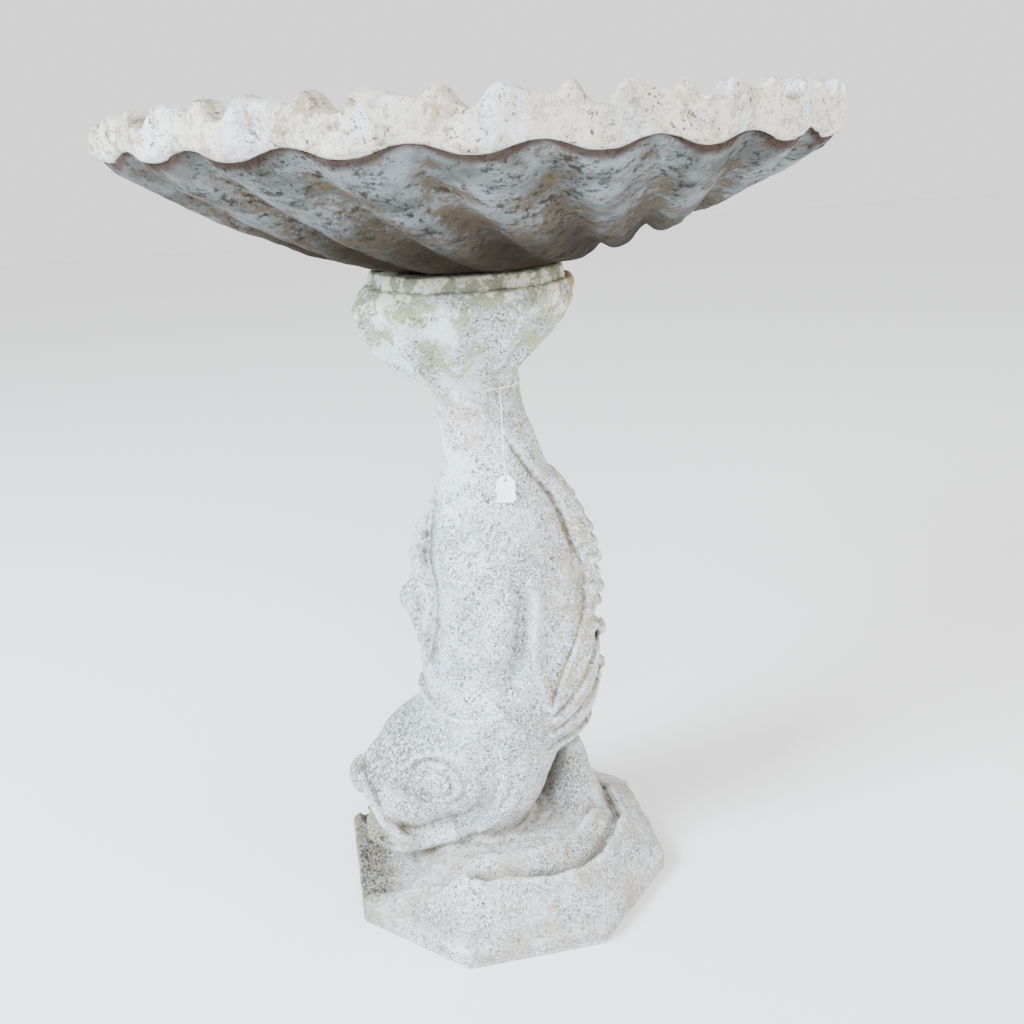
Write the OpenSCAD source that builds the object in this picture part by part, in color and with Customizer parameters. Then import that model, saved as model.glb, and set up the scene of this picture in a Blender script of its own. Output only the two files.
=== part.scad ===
// Cast-concrete bird bath: a fluted scallop-shell basin that rests on a fish-shaped pedestal.
// The origin is the centre of the base's underside, +Z is up, and the fish faces -X.

/* [Base] */
// Width of the octagonal base across its flats
base_flats = 305; // [280:1:380]
// Height of the plain edge round the foot of the base
foot_h = 19; // [12:1:30]
// Height of the rock's top where it meets the fish
rock_h = 58; // [45:1:75]

/* [Pedestal] */
// Height of the pedestal casting
pedestal_h = 597; // [500:1:720]
// Height of the tail-fin capital at the top of the casting
capital_h = 92; // [80:1:120]
// Largest radius of the capital
capital_r = 97; // [85:1:125]
// Half width of the neck below the capital
neck_r = 37; // [34:1:46]
// Largest half width of the fish's body, left to right
body_r = 72; // [60:1:86]
// Half thickness of the body, front to back
body_depth = 58; // [48:1:70]
// Length of the head from the middle of the body to the snout
head_reach = 152; // [120:1:170]
// Angle of the fish to the base
fish_turn = -10; // [-22:1:22]

/* [Basin] */
// Radius of the basin over its rim
basin_r = 297; // [245:1:360]
// Rise of the basin's underside from its seat to the rim
basin_rise = 96; // [80:1:115]
// Height of the thick rim band
rim_h = 36; // [30:1:44]
// Width of the rim's top, from outside to inside
rim_w = 26; // [22:1:32]
// How far the rim band overhangs the underside
rim_overhang = 8; // [4:1:12]
// Thickness of the shell away from the rim
shell_t = 28; // [24:1:36]
// Radius of the flat seat under the basin
seat_r = 62; // [50:1:75]
// Angle between neighbouring flutes, measured at the hinge of the shell
flute_step = 8; // [8:1:12]
// Depth of the flutes, crest to groove
flute_depth = 10; // [4:1:14]
// Distance of the shell's hinge from the middle of the basin
hinge_reach = 262; // [235:1:290]
// Direction of the shell's hinge
hinge_angle = 43; // [0:1:359]
// Offset of the basin from the pedestal's axis
basin_shift = 10; // [0:1:15]
// Slope of the basin's rim, falling towards +X, in thousandths
rim_fall = 19; // [0:1:25]

/* [Bedding] */
// Thickness of the mortar bed between pedestal and basin
bed_t = 12; // [8:1:18]
// Radius of the mortar bed
bed_r = 82; // [76:1:88]

/* [Locating dowel] */
// Diameter of the dowel
dowel_d = 16; // [12:1:20]
// Length of the dowel's stretch inside the pedestal's socket
dowel_in_pedestal = 48; // [35:1:60]
// Length of the dowel's stretch inside the basin's socket
dowel_in_basin = 18; // [12:1:20]
// Wall of the cast-in sockets
socket_wall = 3; // [2:0.5:4]
// Radial running clearance of the dowel in its sockets
dowel_clearance = 0.08; // [0.02:0.01:0.1]

/* [Reinforcement] */
// Diameter of the upright bars in the pedestal
bar_d = 8; // [6:1:10]
// Diameter of the ties round the bars
tie_d = 5; // [4:1:6]
// Concrete cover below and above the upright bars
bar_cover = 30; // [20:1:45]
// Diameter of the wires in the basin
wire_d = 4; // [3:0.5:5]

/* [Tag] */
// Width of the paper tag
tag_w = 16.5; // [12:0.5:30]
// Height of the paper tag
tag_h = 24; // [18:1:40]
// Thickness of the paper tag
tag_t = 0.5; // [0.4:0.1:1]
// Diameter of the thread
thread_d = 1; // [0.8:0.1:1.4]
// Drop of the thread from its knot to the tag's hole
thread_drop = 80; // [60:1:90]
// Lean of the hanging thread, which lies along the fish's sloping front
thread_lean = 10.5; // [10:0.5:14]

/* [Hidden] */

concrete = "#c9cbc8";
rim_white = "#e2ddd2";
steel = "#7d7f82";
mortar = "#b9bda4";
paper = "#fbfaf6";

fit_gap = 0.3;
neck_z = pedestal_h - capital_h;
seat_z = pedestal_h + bed_t;
edge_blend = 4;
rock_r = 76;

// The base: an octagon with its flats square to X and Y.
base_corner_r = base_flats / 2 / cos(22.5);

// The fish's body as shares of the height between rock and neck, from the rock up:
// [height, left half width, right half width, half thickness], as shares of body_r and body_depth.
body_z = 60;
body_shape = [[0, 0.95, 0.50, 0.80], [0.15, 0.96, 0.70, 0.97], [0.30, 0.97, 1.00, 1.03], [0.54, 1.00, 1.00, 0.98],
    [0.66, 0.97, 0.98, 0.92], [0.73, 0.88, 0.97, 0.86], [0.78, 0.70, 0.93, 0.81],
    [0.84, 0.50, 0.82, 0.72], [0.92, 0.47, 0.67, 0.64]];

// The capital as [height, left radius, right radius], as shares of its height and radius.
capital_shape = [[0.12, 0.45, 0.40], [0.25, 0.66, 0.45], [0.42, 0.83, 0.59], [0.56, 0.92, 0.72],
    [0.70, 0.99, 0.84], [0.84, 1.04, 0.92], [0.93, 0.99, 0.94], [1, 0.90, 0.90]];
pleats = 10;
pleat_depth = 0.045;
capital_sides = 80;
body_sides = 40;

// Sides of a smooth curve through the body: a half width or thickness at a share of the height.
function column(table, i) = [for (row = table) [row[0], row[i]]];
function body_at(share, i, scale, at_neck) =
    lookup(share, concat(column(body_shape, i), [[1, at_neck / scale]])) * scale;
function body_share(z) = (z - body_z) / (neck_z - body_z);
function body_height(share) = body_z + share * (neck_z - body_z);
function body_left(z) = body_at(body_share(z), 1, body_r, neck_r);
function body_right(z) = body_at(body_share(z), 2, body_r, neck_r + 2);
function body_half(z) = body_at(body_share(z), 3, body_depth, neck_r - 2);
function body_mid(z) = (body_right(z) - body_left(z)) / 2;
function body_wide(z) = (body_right(z) + body_left(z)) / 2;

// Faces of a solid from rings of n points, first ring lowest; each ring runs anticlockwise from above.
function ring_faces(rings, n) = concat(
    [[for (k = [0:n - 1]) k]],
    [for (j = [0:rings - 2]) for (k = [0:n - 1])
        [j * n + k, (j + 1) * n + k, (j + 1) * n + (k + 1) % n]],
    [for (j = [0:rings - 2]) for (k = [0:n - 1])
        [j * n + k, (j + 1) * n + (k + 1) % n, j * n + (k + 1) % n]],
    [[for (k = [n - 1:-1:0]) (rings - 1) * n + k]]);

module loft(rings) {
    polyhedron(points = [for (ring = rings) each ring], faces = ring_faces(len(rings), len(rings[0])));
}

// A wire's outline round one point of its route; across is a direction the route never takes.
function around(p, ahead, d, sides, across) =
    let (along = ahead / norm(ahead),
         side = cross(along, across) / norm(cross(along, across)),
         up = cross(side, along))
    [for (k = [0:sides - 1]) p + d / 2 * (cos(360 * k / sides) * side + sin(360 * k / sides) * up)];

// A closed loop of wire.
module closed_wire(route, d, sides) {
    n = len(route);
    points = [for (i = [0:n - 1])
        each around(route[i], route[(i + 1) % n] - route[(i + n - 1) % n], d, sides, [0, 0, 1])];
    faces = [for (i = [0:n - 1]) for (k = [0:sides - 1])
        [i * sides + k, ((i + 1) % n) * sides + k,
         ((i + 1) % n) * sides + (k + 1) % sides, i * sides + (k + 1) % sides]];
    polyhedron(points = points, faces = faces);
}

// An open wire with flat ends.
module open_wire(route, d, sides, across) {
    n = len(route);
    loft([for (i = [0:n - 1])
        around(route[i], route[min(i + 1, n - 1)] - route[max(i - 1, 0)], d, sides, across)]);
}

// ---- pedestal ----

module octagon(h, inset) {
    rotate([0, 0, 22.5]) cylinder(h = h, r = base_corner_r - inset, $fn = 8);
}

// A low wave on the rock: a rounded ridge from one point to another.
module wave(from, to, r_from, r_to) {
    hull() {
        translate(from) sphere(r_from, $fn = 16);
        translate(to) sphere(r_to, $fn = 16);
    }
}

module carved_rock() {
    edge = base_flats / 2;
    octagon(foot_h, 0);
    hull() {
        translate([0, 0, foot_h - 1]) octagon(1, 1);
        translate([0, 0, foot_h + edge_blend]) octagon(1, edge_blend);
        translate([0, 0, rock_h - 1]) cylinder(h = 1, r = rock_r, $fn = 32);
    }
    // The rock stands up to a wall on the side under the fish's chin.
    hull() {
        translate([-edge + 1, -20, foot_h]) cube([2, 70, 34]);
        translate([-edge + 45, -35, foot_h]) cube([40, 90, 36]);
    }
    // Waves that sweep round the front from the left corner to the right.
    wave([-30, -edge + 30, foot_h + 6], [-52, -76, rock_h - 12], 12, 16);
    wave([-30, -edge + 30, foot_h + 6], [60, -edge + 45, foot_h + 12], 12, 14);
    wave([60, -edge + 45, foot_h + 12], [edge - 42, -35, foot_h + 16], 14, 14);
    wave([-50, -74, rock_h - 12], [30, -72, rock_h - 6], 14, 16);
    wave([30, -72, rock_h - 6], [80, -44, rock_h - 4], 16, 14);
    // The wave crest that stands behind the fish on the right.
    hull() {
        translate([78, 10, foot_h]) cylinder(h = 6, r = 26, $fn = 20);
        translate([72, 22, foot_h + 106]) sphere(13, $fn = 16);
        translate([48, 20, foot_h + 96]) sphere(16, $fn = 16);
    }
    hull() {
        translate([20, 95, foot_h]) cylinder(h = 6, r = 30, $fn = 20);
        translate([30, 56, foot_h + 90]) sphere(16, $fn = 16);
    }
}

module fish_body() {
    foot = [body_z - 20];
    heights = [for (s = [0, 0.15, 0.30, 0.42, 0.54, 0.60, 0.66, 0.70, 0.73, 0.78, 0.81, 0.84,
        0.88, 0.92, 0.96, 1]) body_height(s)];
    loft([for (z = concat(foot, heights)) [for (k = [0:body_sides - 1])
        let (a = 360 * k / body_sides)
        [body_mid(z) + body_wide(z) * cos(a), body_half(z) * sin(a), z]]]);
}

// Two rings at the neck keep the capital and the body one piece.
module capital() {
    rows = concat([[-0.05, neck_r / capital_r * 0.98, (neck_r + 1) / capital_r],
        [0, neck_r / capital_r, (neck_r + 1) / capital_r]], capital_shape);
    loft([for (row = rows) [for (k = [0:capital_sides - 1])
        let (a = 360 * k / capital_sides,
             left = row[1] * capital_r, right = row[2] * capital_r,
             mid = (right - left) / 2, r = (right + left) / 2,
             pleat = 1 + pleat_depth * cos(pleats * a) * sin(180 * min(1, max(0, row[0]))))
        [mid + r * pleat * cos(a), r * pleat * sin(a) * (row[0] < 0.2 ? 0.94 : 1),
         neck_z + row[0] * capital_h]]]);
}

// The head in profile towards -X: [place along the head, middle height, half height, half thickness].
head_z = 110;
head_shape = [[-0.18, 96, 40, 44], [-0.05, 104, 62, 58], [0.14, 109, 68, 63], [0.32, 110, 68, 64],
    [0.48, 110, 64, 60], [0.64, 107, 57, 50], [0.76, 106, 46, 40], [0.86, 106, 34, 32],
    [0.92, 108, 24, 24]];

module fish_head() {
    n = 28;
    // Rings across the head, from the back of the gill cover to the snout.
    rotate([0, -90, 0]) loft([for (row = head_shape) [for (k = [0:n - 1])
        let (a = 360 * k / n)
        [row[1] + row[2] * cos(a), row[3] * sin(a), row[0] * head_reach]]]);
    // The upper lip curls up at the snout.
    hull() {
        translate([-head_reach + 12, 0, head_z + 3]) sphere(12, $fn = 20);
        translate([-head_reach + 36, 0, head_z - 18]) sphere(20, $fn = 20);
    }
    // The lower jaw.
    hull() {
        translate([-head_reach + 27, 0, 64]) sphere(14, $fn = 20);
        translate([-head_reach + 62, 0, 68]) sphere(26, $fn = 20);
    }
    // The raised eye on each side.
    for (side = [-1, 1])
        hull() {
            translate([-62, side * 48, 126]) sphere(18, $fn = 24);
            translate([-62, side * 42, 124]) sphere(23, $fn = 24);
        }
}

// A fin with a toothed edge: a thin plate whose outer edge steps in and out.
module toothed_fin(z0, z1, root, tip, teeth, t) {
    step = (z1 - z0) / teeth;
    translate([0, t / 2, 0]) rotate([90, 0, 0]) linear_extrude(t)
        polygon(concat([[root, z0 - 10]],
            [for (i = [0:teeth]) each [[tip * (0.93 - 0.10 * abs(i / teeth - 0.5)), z0 + i * step],
                [tip * (1.03 - 0.10 * abs(i / teeth - 0.5)), z0 + (min(i + 0.6, teeth)) * step]]],
            [[root, z1 + 10]]));
}

// The side fin: rays that fan from its root, with a web between each pair.
// [out beyond the body, back from its front, share of the body's height] of each ray's tip.
fin_root = [-28, 8, 0.27];
fin_tips = [[-14, 12, 0.57], [20, 34, 0.56], [31, 50, 0.46], [31, 54, 0.37], [22, 52, 0.29], [4, 38, 0.21]];
function fin_point(p) = [body_r + p[0], -body_depth + p[1], body_height(p[2])];
module side_fin() {
    for (i = [0:len(fin_tips) - 2])
        hull() {
            translate(fin_point(fin_root)) sphere(9, $fn = 12);
            translate(fin_point(fin_tips[i])) sphere(5, $fn = 12);
            translate(fin_point(fin_tips[i + 1]) - [6, 0, 0]) sphere(4, $fn = 12);
        }
}

module fish_pedestal() color(concrete) difference() {
    union() {
        carved_rock();
        rotate([0, 0, fish_turn]) {
            fish_body();
            capital();
            fish_head();
            toothed_fin(body_height(0.33), body_height(0.76), -0.55 * body_r, -body_r - 12, 9, 14);
            toothed_fin(body_height(0.51), body_height(0.77), 0.55 * body_r, body_r + 32, 6, 16);
            side_fin();
            mirror([0, 1, 0]) side_fin();
        }
    }
    translate([0, 0, pedestal_h - socket_h - fit_gap])
        cylinder(h = socket_h + fit_gap + 1, r = socket_r + fit_gap, $fn = 32);
}

// ---- dowel and its sockets ----

dowel_floor = 3;
socket_r = dowel_d / 2 + dowel_clearance + socket_wall;
socket_h = dowel_in_pedestal - bed_t + dowel_floor;
basin_socket_h = dowel_in_basin + 1 + dowel_floor;

module pedestal_socket() color(steel) translate([0, 0, pedestal_h - socket_h]) difference() {
    cylinder(h = socket_h, r = socket_r);
    translate([0, 0, dowel_floor]) cylinder(h = socket_h, r = dowel_d / 2 + dowel_clearance);
}

module basin_socket() color(steel) translate([0, 0, seat_z]) difference() {
    cylinder(h = basin_socket_h, r = socket_r);
    translate([0, 0, -1]) cylinder(h = dowel_in_basin + 2, r = dowel_d / 2 + dowel_clearance);
}

module locating_dowel() color(steel) translate([0, 0, seat_z - dowel_in_pedestal]) {
    cylinder(h = dowel_in_pedestal + dowel_in_basin - 1, r = dowel_d / 2);
    translate([0, 0, dowel_in_pedestal + dowel_in_basin - 1])
        cylinder(h = 1, r1 = dowel_d / 2, r2 = dowel_d / 2 - 1);
}

// ---- reinforcement ----

bar_ring_r = 18;
bars = 4;
ties = 4;

module core_bars() color(steel) for (i = [0:bars - 1]) rotate([0, 0, 45 + 360 * i / bars])
    translate([bar_ring_r, 0, bar_cover])
        cylinder(h = pedestal_h - socket_h - 10 - bar_cover, r = bar_d / 2);

module core_ties() color(steel) for (i = [0:ties - 1])
    translate([0, 0, 80 + i * (neck_z - 180) / (ties - 1)])
        rotate_extrude() translate([bar_ring_r + bar_d / 2 + tie_d / 2 + fit_gap, 0]) circle(tie_d / 2);

// ---- bedding ----

// A ragged disc of old mortar with the socket's mouth left open.
module bedding_mortar() color(mortar) translate([0, 0, pedestal_h]) linear_extrude(bed_t)
    difference() {
        polygon([for (a = [0:4:356])
            (bed_r + 2.2 * sin(5 * a) + 1.4 * sin(11 * a + 40) + 0.8 * sin(23 * a)) * [cos(a), sin(a)]]);
        circle(socket_r + 6);
    }

// ---- basin ----

hinge = [basin_shift + hinge_reach * cos(hinge_angle), hinge_reach * sin(hinge_angle)];
flute_phase = 3;
flute_fade = [60, 230];

function smooth(t) = let (u = min(1, max(0, t))) u * u * (3 - 2 * u);
function out_from(x, y) = norm([x - basin_shift, y]);

// Angle along the flutes: 0 on a rib's crest, 180 in the groove beside it.
function flute_turn(x, y) = 360 / flute_step * (atan2(y - hinge[1], x - hinge[0]) - flute_phase);
function flute_height(x, y) =
    smooth((norm([x, y] - hinge) - flute_fade[0]) / (flute_fade[1] - flute_fade[0]));
function fall(x, y) =
    -rim_fall / 1000 * (x - basin_shift) * smooth((out_from(x, y) - seat_r) / (basin_r - seat_r));
// Height of a plain bowl above its seat, at a distance from its middle.
function bowl(rho) = basin_rise * pow(max(0, rho - seat_r) / (basin_r - seat_r), 1.5);

function under_z(x, y) = let (rho = out_from(x, y))
    seat_z + bowl(rho) + fall(x, y)
    + flute_depth * smooth((rho - seat_r) / 50) * flute_height(x, y)
    * pow((1 - cos(flute_turn(x, y))) / 2, 2);
function rim_low_z(x, y) =
    seat_z + basin_rise + 2 + fall(x, y) - 3.3 * cos(flute_turn(x, y)) * flute_height(x, y);
// The rim's top has a deep dip over each rib and a shallow one over each groove.
function rim_top_z(x, y) = let (turn = flute_turn(x, y))
    seat_z + basin_rise + rim_h + fall(x, y)
    - (3.5 * cos(turn) + 4.6 * cos(2 * turn) + 4.9) * flute_height(x, y);
function inside_mean(x, y) =
    seat_z + shell_t + fall(x, y)
    + (basin_rise + rim_h - shell_t - 14) * pow(out_from(x, y) / (basin_r - rim_w), 1.9);
function inside_z(x, y) = inside_mean(x, y) - flute_depth * 0.7
    * cos(flute_turn(x, y)) * flute_height(x, y) * smooth((out_from(x, y) - 60) / 120);

// One point on the bowl at an angle and distance, with its height from a rule chosen by kind.
function bowl_point(a, rho, kind) =
    let (x = basin_shift + rho * cos(a), y = rho * sin(a))
    [x, y, kind == "flat" ? seat_z
        : kind == "under" ? under_z(x, y)
        : kind == "low" ? rim_low_z(x, y)
        : kind == "low_out" ? rim_low_z(x, y) + 5
        : kind == "high_out" ? rim_top_z(x, y) - 8
        : kind == "top" ? rim_top_z(x, y)
        : kind == "high_in" ? rim_top_z(x, y) - 5
        : inside_z(x, y)];

basin_sides = 216;
basin_rings = concat(
    [["flat", seat_r]],
    [for (s = [0.12, 0.26, 0.42, 0.58, 0.74, 0.89]) ["under", seat_r + s * (basin_r - seat_r)]],
    [["under", basin_r - rim_overhang - 2], ["low", basin_r - rim_overhang], ["low", basin_r - 3],
        ["low_out", basin_r], ["high_out", basin_r], ["top", basin_r - 7],
        ["top", basin_r - rim_w + 8], ["high_in", basin_r - rim_w]],
    [for (s = [0.94, 0.80, 0.64, 0.46, 0.28, 0.12]) ["inside", s * (basin_r - rim_w)]]);

module shell_solid() {
    loft([for (ring = basin_rings) [for (k = [0:basin_sides - 1])
        bowl_point(360 * k / basin_sides, ring[1], ring[0])]]);
}

// The small fan at the hinge, which the flutes spring from: its rays lie on the inside of the bowl.
fan_r = 34;
fan_rays = 3;
fan_hub_r = 9;
fan_tip_r = 5;
fan_proud = 2;
module hinge_fan() {
    for (i = [-fan_rays:fan_rays]) {
        a = 180 + hinge_angle + 72 * i / fan_rays;
        tip = hinge + fan_r * [cos(a), sin(a)];
        hull() {
            translate([hinge[0], hinge[1], inside_mean(hinge[0], hinge[1]) + fan_proud])
                sphere(fan_hub_r, $fn = 12);
            translate([tip[0], tip[1], inside_mean(tip[0], tip[1]) + fan_proud])
                sphere(fan_tip_r, $fn = 12);
        }
    }
}

module basin_shell() color(rim_white) difference() {
    union() {
        shell_solid();
        hinge_fan();
        // The boss that carries the socket.
        hull() {
            translate([0, 0, seat_z + shell_t - 4]) cylinder(h = 1, r = 40, $fn = 32);
            translate([0, 0, seat_z + shell_t + 2]) cylinder(h = 1, r = 26, $fn = 32);
        }
    }
    translate([0, 0, seat_z - 1])
        cylinder(h = basin_socket_h + fit_gap + 1, r = socket_r + fit_gap, $fn = 32);
}

// Middle of the shell's thickness, where its wires lie.
function wire_point(a, rho) =
    let (x = basin_shift + rho * cos(a), y = rho * sin(a))
    [x, y, (seat_z + bowl(rho) + fall(x, y) + flute_depth / 2 + inside_mean(x, y)) / 2];

wire_rings = [0.33, 0.62, 0.92];
module basin_ring_wires() color(steel) for (s = wire_rings)
    closed_wire([for (a = [0:7.5:352.5]) wire_point(a, s * basin_r)], wire_d, 8);

cross_wires = 8;
module basin_cross_wires() color(steel) for (i = [0:cross_wires - 1])
    open_wire([for (s = [0.16, 0.30, 0.45, 0.60, 0.75, 0.92])
        wire_point(10 + 360 * i / cross_wires, s * basin_r) - [0, 0, 1.2 * wire_d]],
        wire_d, 8, [0, 0, 1]);

// ---- tag ----

loop_r = neck_r + 2 + thread_d / 2 + fit_gap;
loop_squash = 3;
knot_angle = -58;
knot_r = 1.6;
hole_r = 1.5;
hole_in = 4;
knot = [1 + loop_r * cos(knot_angle), (loop_r - loop_squash) * sin(knot_angle) - 0.6, neck_z + 2];

// The thread's loop lies round the neck, in the crease under the capital.
module thread_loop() color(paper) rotate([0, 0, fish_turn])
    closed_wire([for (a = [0:9:351])
        [1 + loop_r * cos(a), (loop_r - loop_squash) * sin(a), neck_z + 1 - sin(a)]], thread_d, 8);

module thread_knot() color(paper) rotate([0, 0, fish_turn]) translate(knot) sphere(knot_r);

// Thread and tag hang from the knot in a frame that leans with the fish's front.
module hung() rotate([0, 0, fish_turn]) translate(knot) rotate([-thread_lean, 0, 0]) children();

// Route of the thread below its knot, in the leaning frame: it ends in the tag's hole.
thread_route = concat([for (i = [0:8]) [0, 0, -knot_r - fit_gap - i * (thread_drop - 4) / 8]],
    [[0, 0.1, -thread_drop + 1.4], [0, 0.5, -thread_drop + 0.4], [0, 1.2, -thread_drop]]);

module tag_thread() color(paper) hung() open_wire(thread_route, thread_d, 8, [1, 0, 0]);

// The card has clipped upper corners and a punched hole.
module tag_card() color(paper) hung()
    translate([0, thread_d / 2 + 0.15 + tag_t, -thread_drop + hole_in - tag_h])
    rotate([90, 0, 0]) linear_extrude(tag_t) difference() {
        polygon([[-tag_w / 2, 0], [tag_w / 2, 0], [tag_w / 2, tag_h - 5], [tag_w / 2 - 5, tag_h],
            [5 - tag_w / 2, tag_h], [-tag_w / 2, tag_h - 5]]);
        translate([0, tag_h - hole_in]) circle(hole_r);
    }

fish_pedestal();
core_bars();
core_ties();
pedestal_socket();
bedding_mortar();
locating_dowel();
basin_shell();
basin_socket();
basin_ring_wires();
basin_cross_wires();
thread_loop();
thread_knot();
tag_thread();
tag_card();
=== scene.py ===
# %% [markdown]
# # A cast-concrete bird bath
# A fluted shell basin rests on a pedestal that was cast as a fish standing on its head. The steel
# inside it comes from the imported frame. The two castings are carved here, because weathered concrete
# is all soft blends, chips and grain, which a mesh does well and an exact solid doesn't.

# %% Load the frame
import math
import bpy
import numpy as np
from mathutils import Matrix, Vector


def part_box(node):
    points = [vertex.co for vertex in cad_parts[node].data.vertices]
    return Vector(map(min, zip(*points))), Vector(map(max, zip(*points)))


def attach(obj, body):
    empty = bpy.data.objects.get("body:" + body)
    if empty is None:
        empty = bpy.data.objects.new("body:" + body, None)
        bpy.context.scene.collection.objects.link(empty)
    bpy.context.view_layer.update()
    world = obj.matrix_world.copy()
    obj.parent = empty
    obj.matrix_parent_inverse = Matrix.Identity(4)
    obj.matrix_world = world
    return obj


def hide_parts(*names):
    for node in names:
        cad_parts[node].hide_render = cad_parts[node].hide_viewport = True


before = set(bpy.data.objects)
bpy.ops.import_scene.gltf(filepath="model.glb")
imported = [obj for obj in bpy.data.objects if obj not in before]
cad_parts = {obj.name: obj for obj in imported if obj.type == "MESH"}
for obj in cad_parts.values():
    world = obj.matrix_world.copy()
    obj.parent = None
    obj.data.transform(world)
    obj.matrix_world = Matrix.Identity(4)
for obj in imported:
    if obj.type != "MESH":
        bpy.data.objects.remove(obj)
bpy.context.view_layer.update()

MM = 0.001

# %% [markdown]
# ## Camera
# The viewer stands a little to the left, at basin height, and looks down at the fish. A 37 mm lens
# at one metre gives the strong perspective of a close view: the basin looks wide and the base small.

# %% Camera
LENS = 37.28
EYE = Vector((-0.1399, -0.9155, 0.7186))
PITCH, ROLL, YAW = math.radians(20.008), math.radians(-3.269), math.radians(10.339)


def camera_matrix():
    """The camera looks along +Y at yaw 0; yaw turns it towards +X, pitch tips it down."""
    ahead = Vector((math.sin(YAW) * math.cos(PITCH), math.cos(YAW) * math.cos(PITCH), -math.sin(PITCH)))
    right = Vector((math.cos(YAW), -math.sin(YAW), 0))
    up = right.cross(ahead)
    side = math.cos(ROLL) * right + math.sin(ROLL) * up
    top = -math.sin(ROLL) * right + math.cos(ROLL) * up
    turn = Matrix((side, top, -ahead)).transposed()
    return Matrix.Translation(EYE) @ turn.to_4x4()


camera_data = bpy.data.cameras.new("camera")
camera_data.lens = LENS
camera_data.sensor_width = 36
camera = bpy.data.objects.new("camera", camera_data)
bpy.context.collection.objects.link(camera)
camera.matrix_world = camera_matrix()
bpy.context.scene.camera = camera

# %% [markdown]
# ## Helpers for meshes
# Everything is worked out in millimetres and turned into metres at the last step, because a maker
# thinks of a cast ornament in millimetres. Each mesh is made from plain arrays of points and faces.

# %% Mesh helpers
def piece(name, points, faces, body, smooth=True):
    """A mesh object from points in millimetres, riding on a body of the frame."""
    mesh = bpy.data.meshes.new(name)
    mesh.from_pydata((np.asarray(points) * MM).tolist(), [], np.asarray(faces).tolist()
                     if isinstance(faces, np.ndarray) else faces)
    mesh.update()
    mesh.polygons.foreach_set("use_smooth", [smooth] * len(mesh.polygons))
    made = bpy.data.objects.new(name, mesh)
    bpy.context.collection.objects.link(made)
    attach(made, body)
    return made


def mark(made, name, values):
    """Stores one number for each vertex, for the material to read."""
    layer = made.data.attributes.new(name, "FLOAT", "POINT")
    layer.data.foreach_set("value", np.asarray(values, dtype=np.float32))


def smooth_step(value, low, high):
    """0 below low, 1 above high, and a soft change between."""
    t = np.clip((value - low) / (high - low), 0, 1)
    return t * t * (3 - 2 * t)


# %% [markdown]
# Cast concrete is never flat: it has lumps from the mould and pits from air and frost. This value
# noise gives lumps of any size, the same ones on every run, because its table has a fixed seed.

# %% Lumps
def lumps(points, size, seed):
    """Smooth noise between about -1 and 1 with lumps of that size."""
    table = np.random.default_rng(seed).uniform(-1, 1, (32, 32, 32))
    cell = np.floor(points / size).astype(int)
    part = points / size - cell
    part = part * part * (3 - 2 * part)
    total = np.zeros(len(points))
    for corner in np.ndindex(2, 2, 2):
        weight = np.prod(np.where(corner, part, 1 - part), axis=1)
        at = (cell + corner) % 32
        total += weight * table[at[:, 0], at[:, 1], at[:, 2]]
    return total


def roughness(points, layers):
    """Lumps of several sizes on top of each other; a layer is its height, size and seed."""
    return sum(high * lumps(points, size, seed) for high, size, seed in layers)

# %% [markdown]
# ## The tag on its thread
# A blank paper tag hangs from a white thread that is tied round the fish's tail. The thread is the
# one limp cord here, so it comes first: a swept tube keeps exactly the length it is told to have.
# Everything about it is measured down from the knot, in a frame that leans with the fish's front.

# %% Thread route
knot_low, knot_high = (Vector(corner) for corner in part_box("thread_knot"))
KNOT = (knot_low + knot_high) / 2
KNOT_R = (knot_high.x - knot_low.x) / 2
THREAD_D = 0.001
THREAD_DROP = 0.080
FISH_TURN, THREAD_LEAN = math.radians(-10), math.radians(-10.5)
hang = Matrix.Translation(KNOT) @ Matrix.Rotation(FISH_TURN, 4, "Z") \
    @ Matrix.Rotation(THREAD_LEAN, 4, "X")
below_knot = KNOT_R + 0.3 * MM
route = [(0, 0, -below_knot - i * (THREAD_DROP - 4 * MM) / 8) for i in range(9)]
route += [(0, 0.1 * MM, 1.4 * MM - THREAD_DROP), (0, 0.5 * MM, 0.4 * MM - THREAD_DROP),
          (0, 1.2 * MM, -THREAD_DROP)]
route = [hang @ Vector(point) for point in route]
thread_length = sum((b - a).length for a, b in zip(route[:-1], route[1:]))
print("thread:", round(thread_length * 1000, 1), "mm")


# %% [markdown]
# A tube is swept along a route by carrying a small ring of points from one route point to the next.
# Two twisted plies show as a slow spiral in the ring, which makes the thread look spun.

# %% Tube
PLY_DEPTH = 0.16


def tube(name, points, diameter, body, sides=10, twist=0.0, closed=False):
    """A mesh tube along points in metres."""
    points = [Vector(point) for point in points]
    count = len(points)
    rings = []
    for i, point in enumerate(points):
        after = points[(i + 1) % count] if closed else points[min(i + 1, count - 1)]
        before = points[i - 1] if closed else points[max(i - 1, 0)]
        along = (after - before).normalized()
        across = along.cross(Vector((0.13, 0.9, 0.41))).normalized()
        third = along.cross(across)
        for k in range(sides):
            angle = 2 * math.pi * k / sides + twist * i
            ply = PLY_DEPTH * math.cos(2 * (angle - twist * i)) if twist else 0
            radius = diameter / 2 * (1 + ply - PLY_DEPTH / 2)
            rings.append((point + radius * (math.cos(angle) * across + math.sin(angle) * third)) / MM)
    faces = []
    for i in range(count if closed else count - 1):
        ahead = (i + 1) % count
        faces += [(i * sides + k, i * sides + (k + 1) % sides, ahead * sides + (k + 1) % sides,
                   ahead * sides + k) for k in range(sides)]
    if not closed:
        faces += [tuple(range(sides))[::-1], tuple((count - 1) * sides + k for k in range(sides))]
    return piece(name, [tuple(ring) for ring in rings], faces, body)


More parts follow.
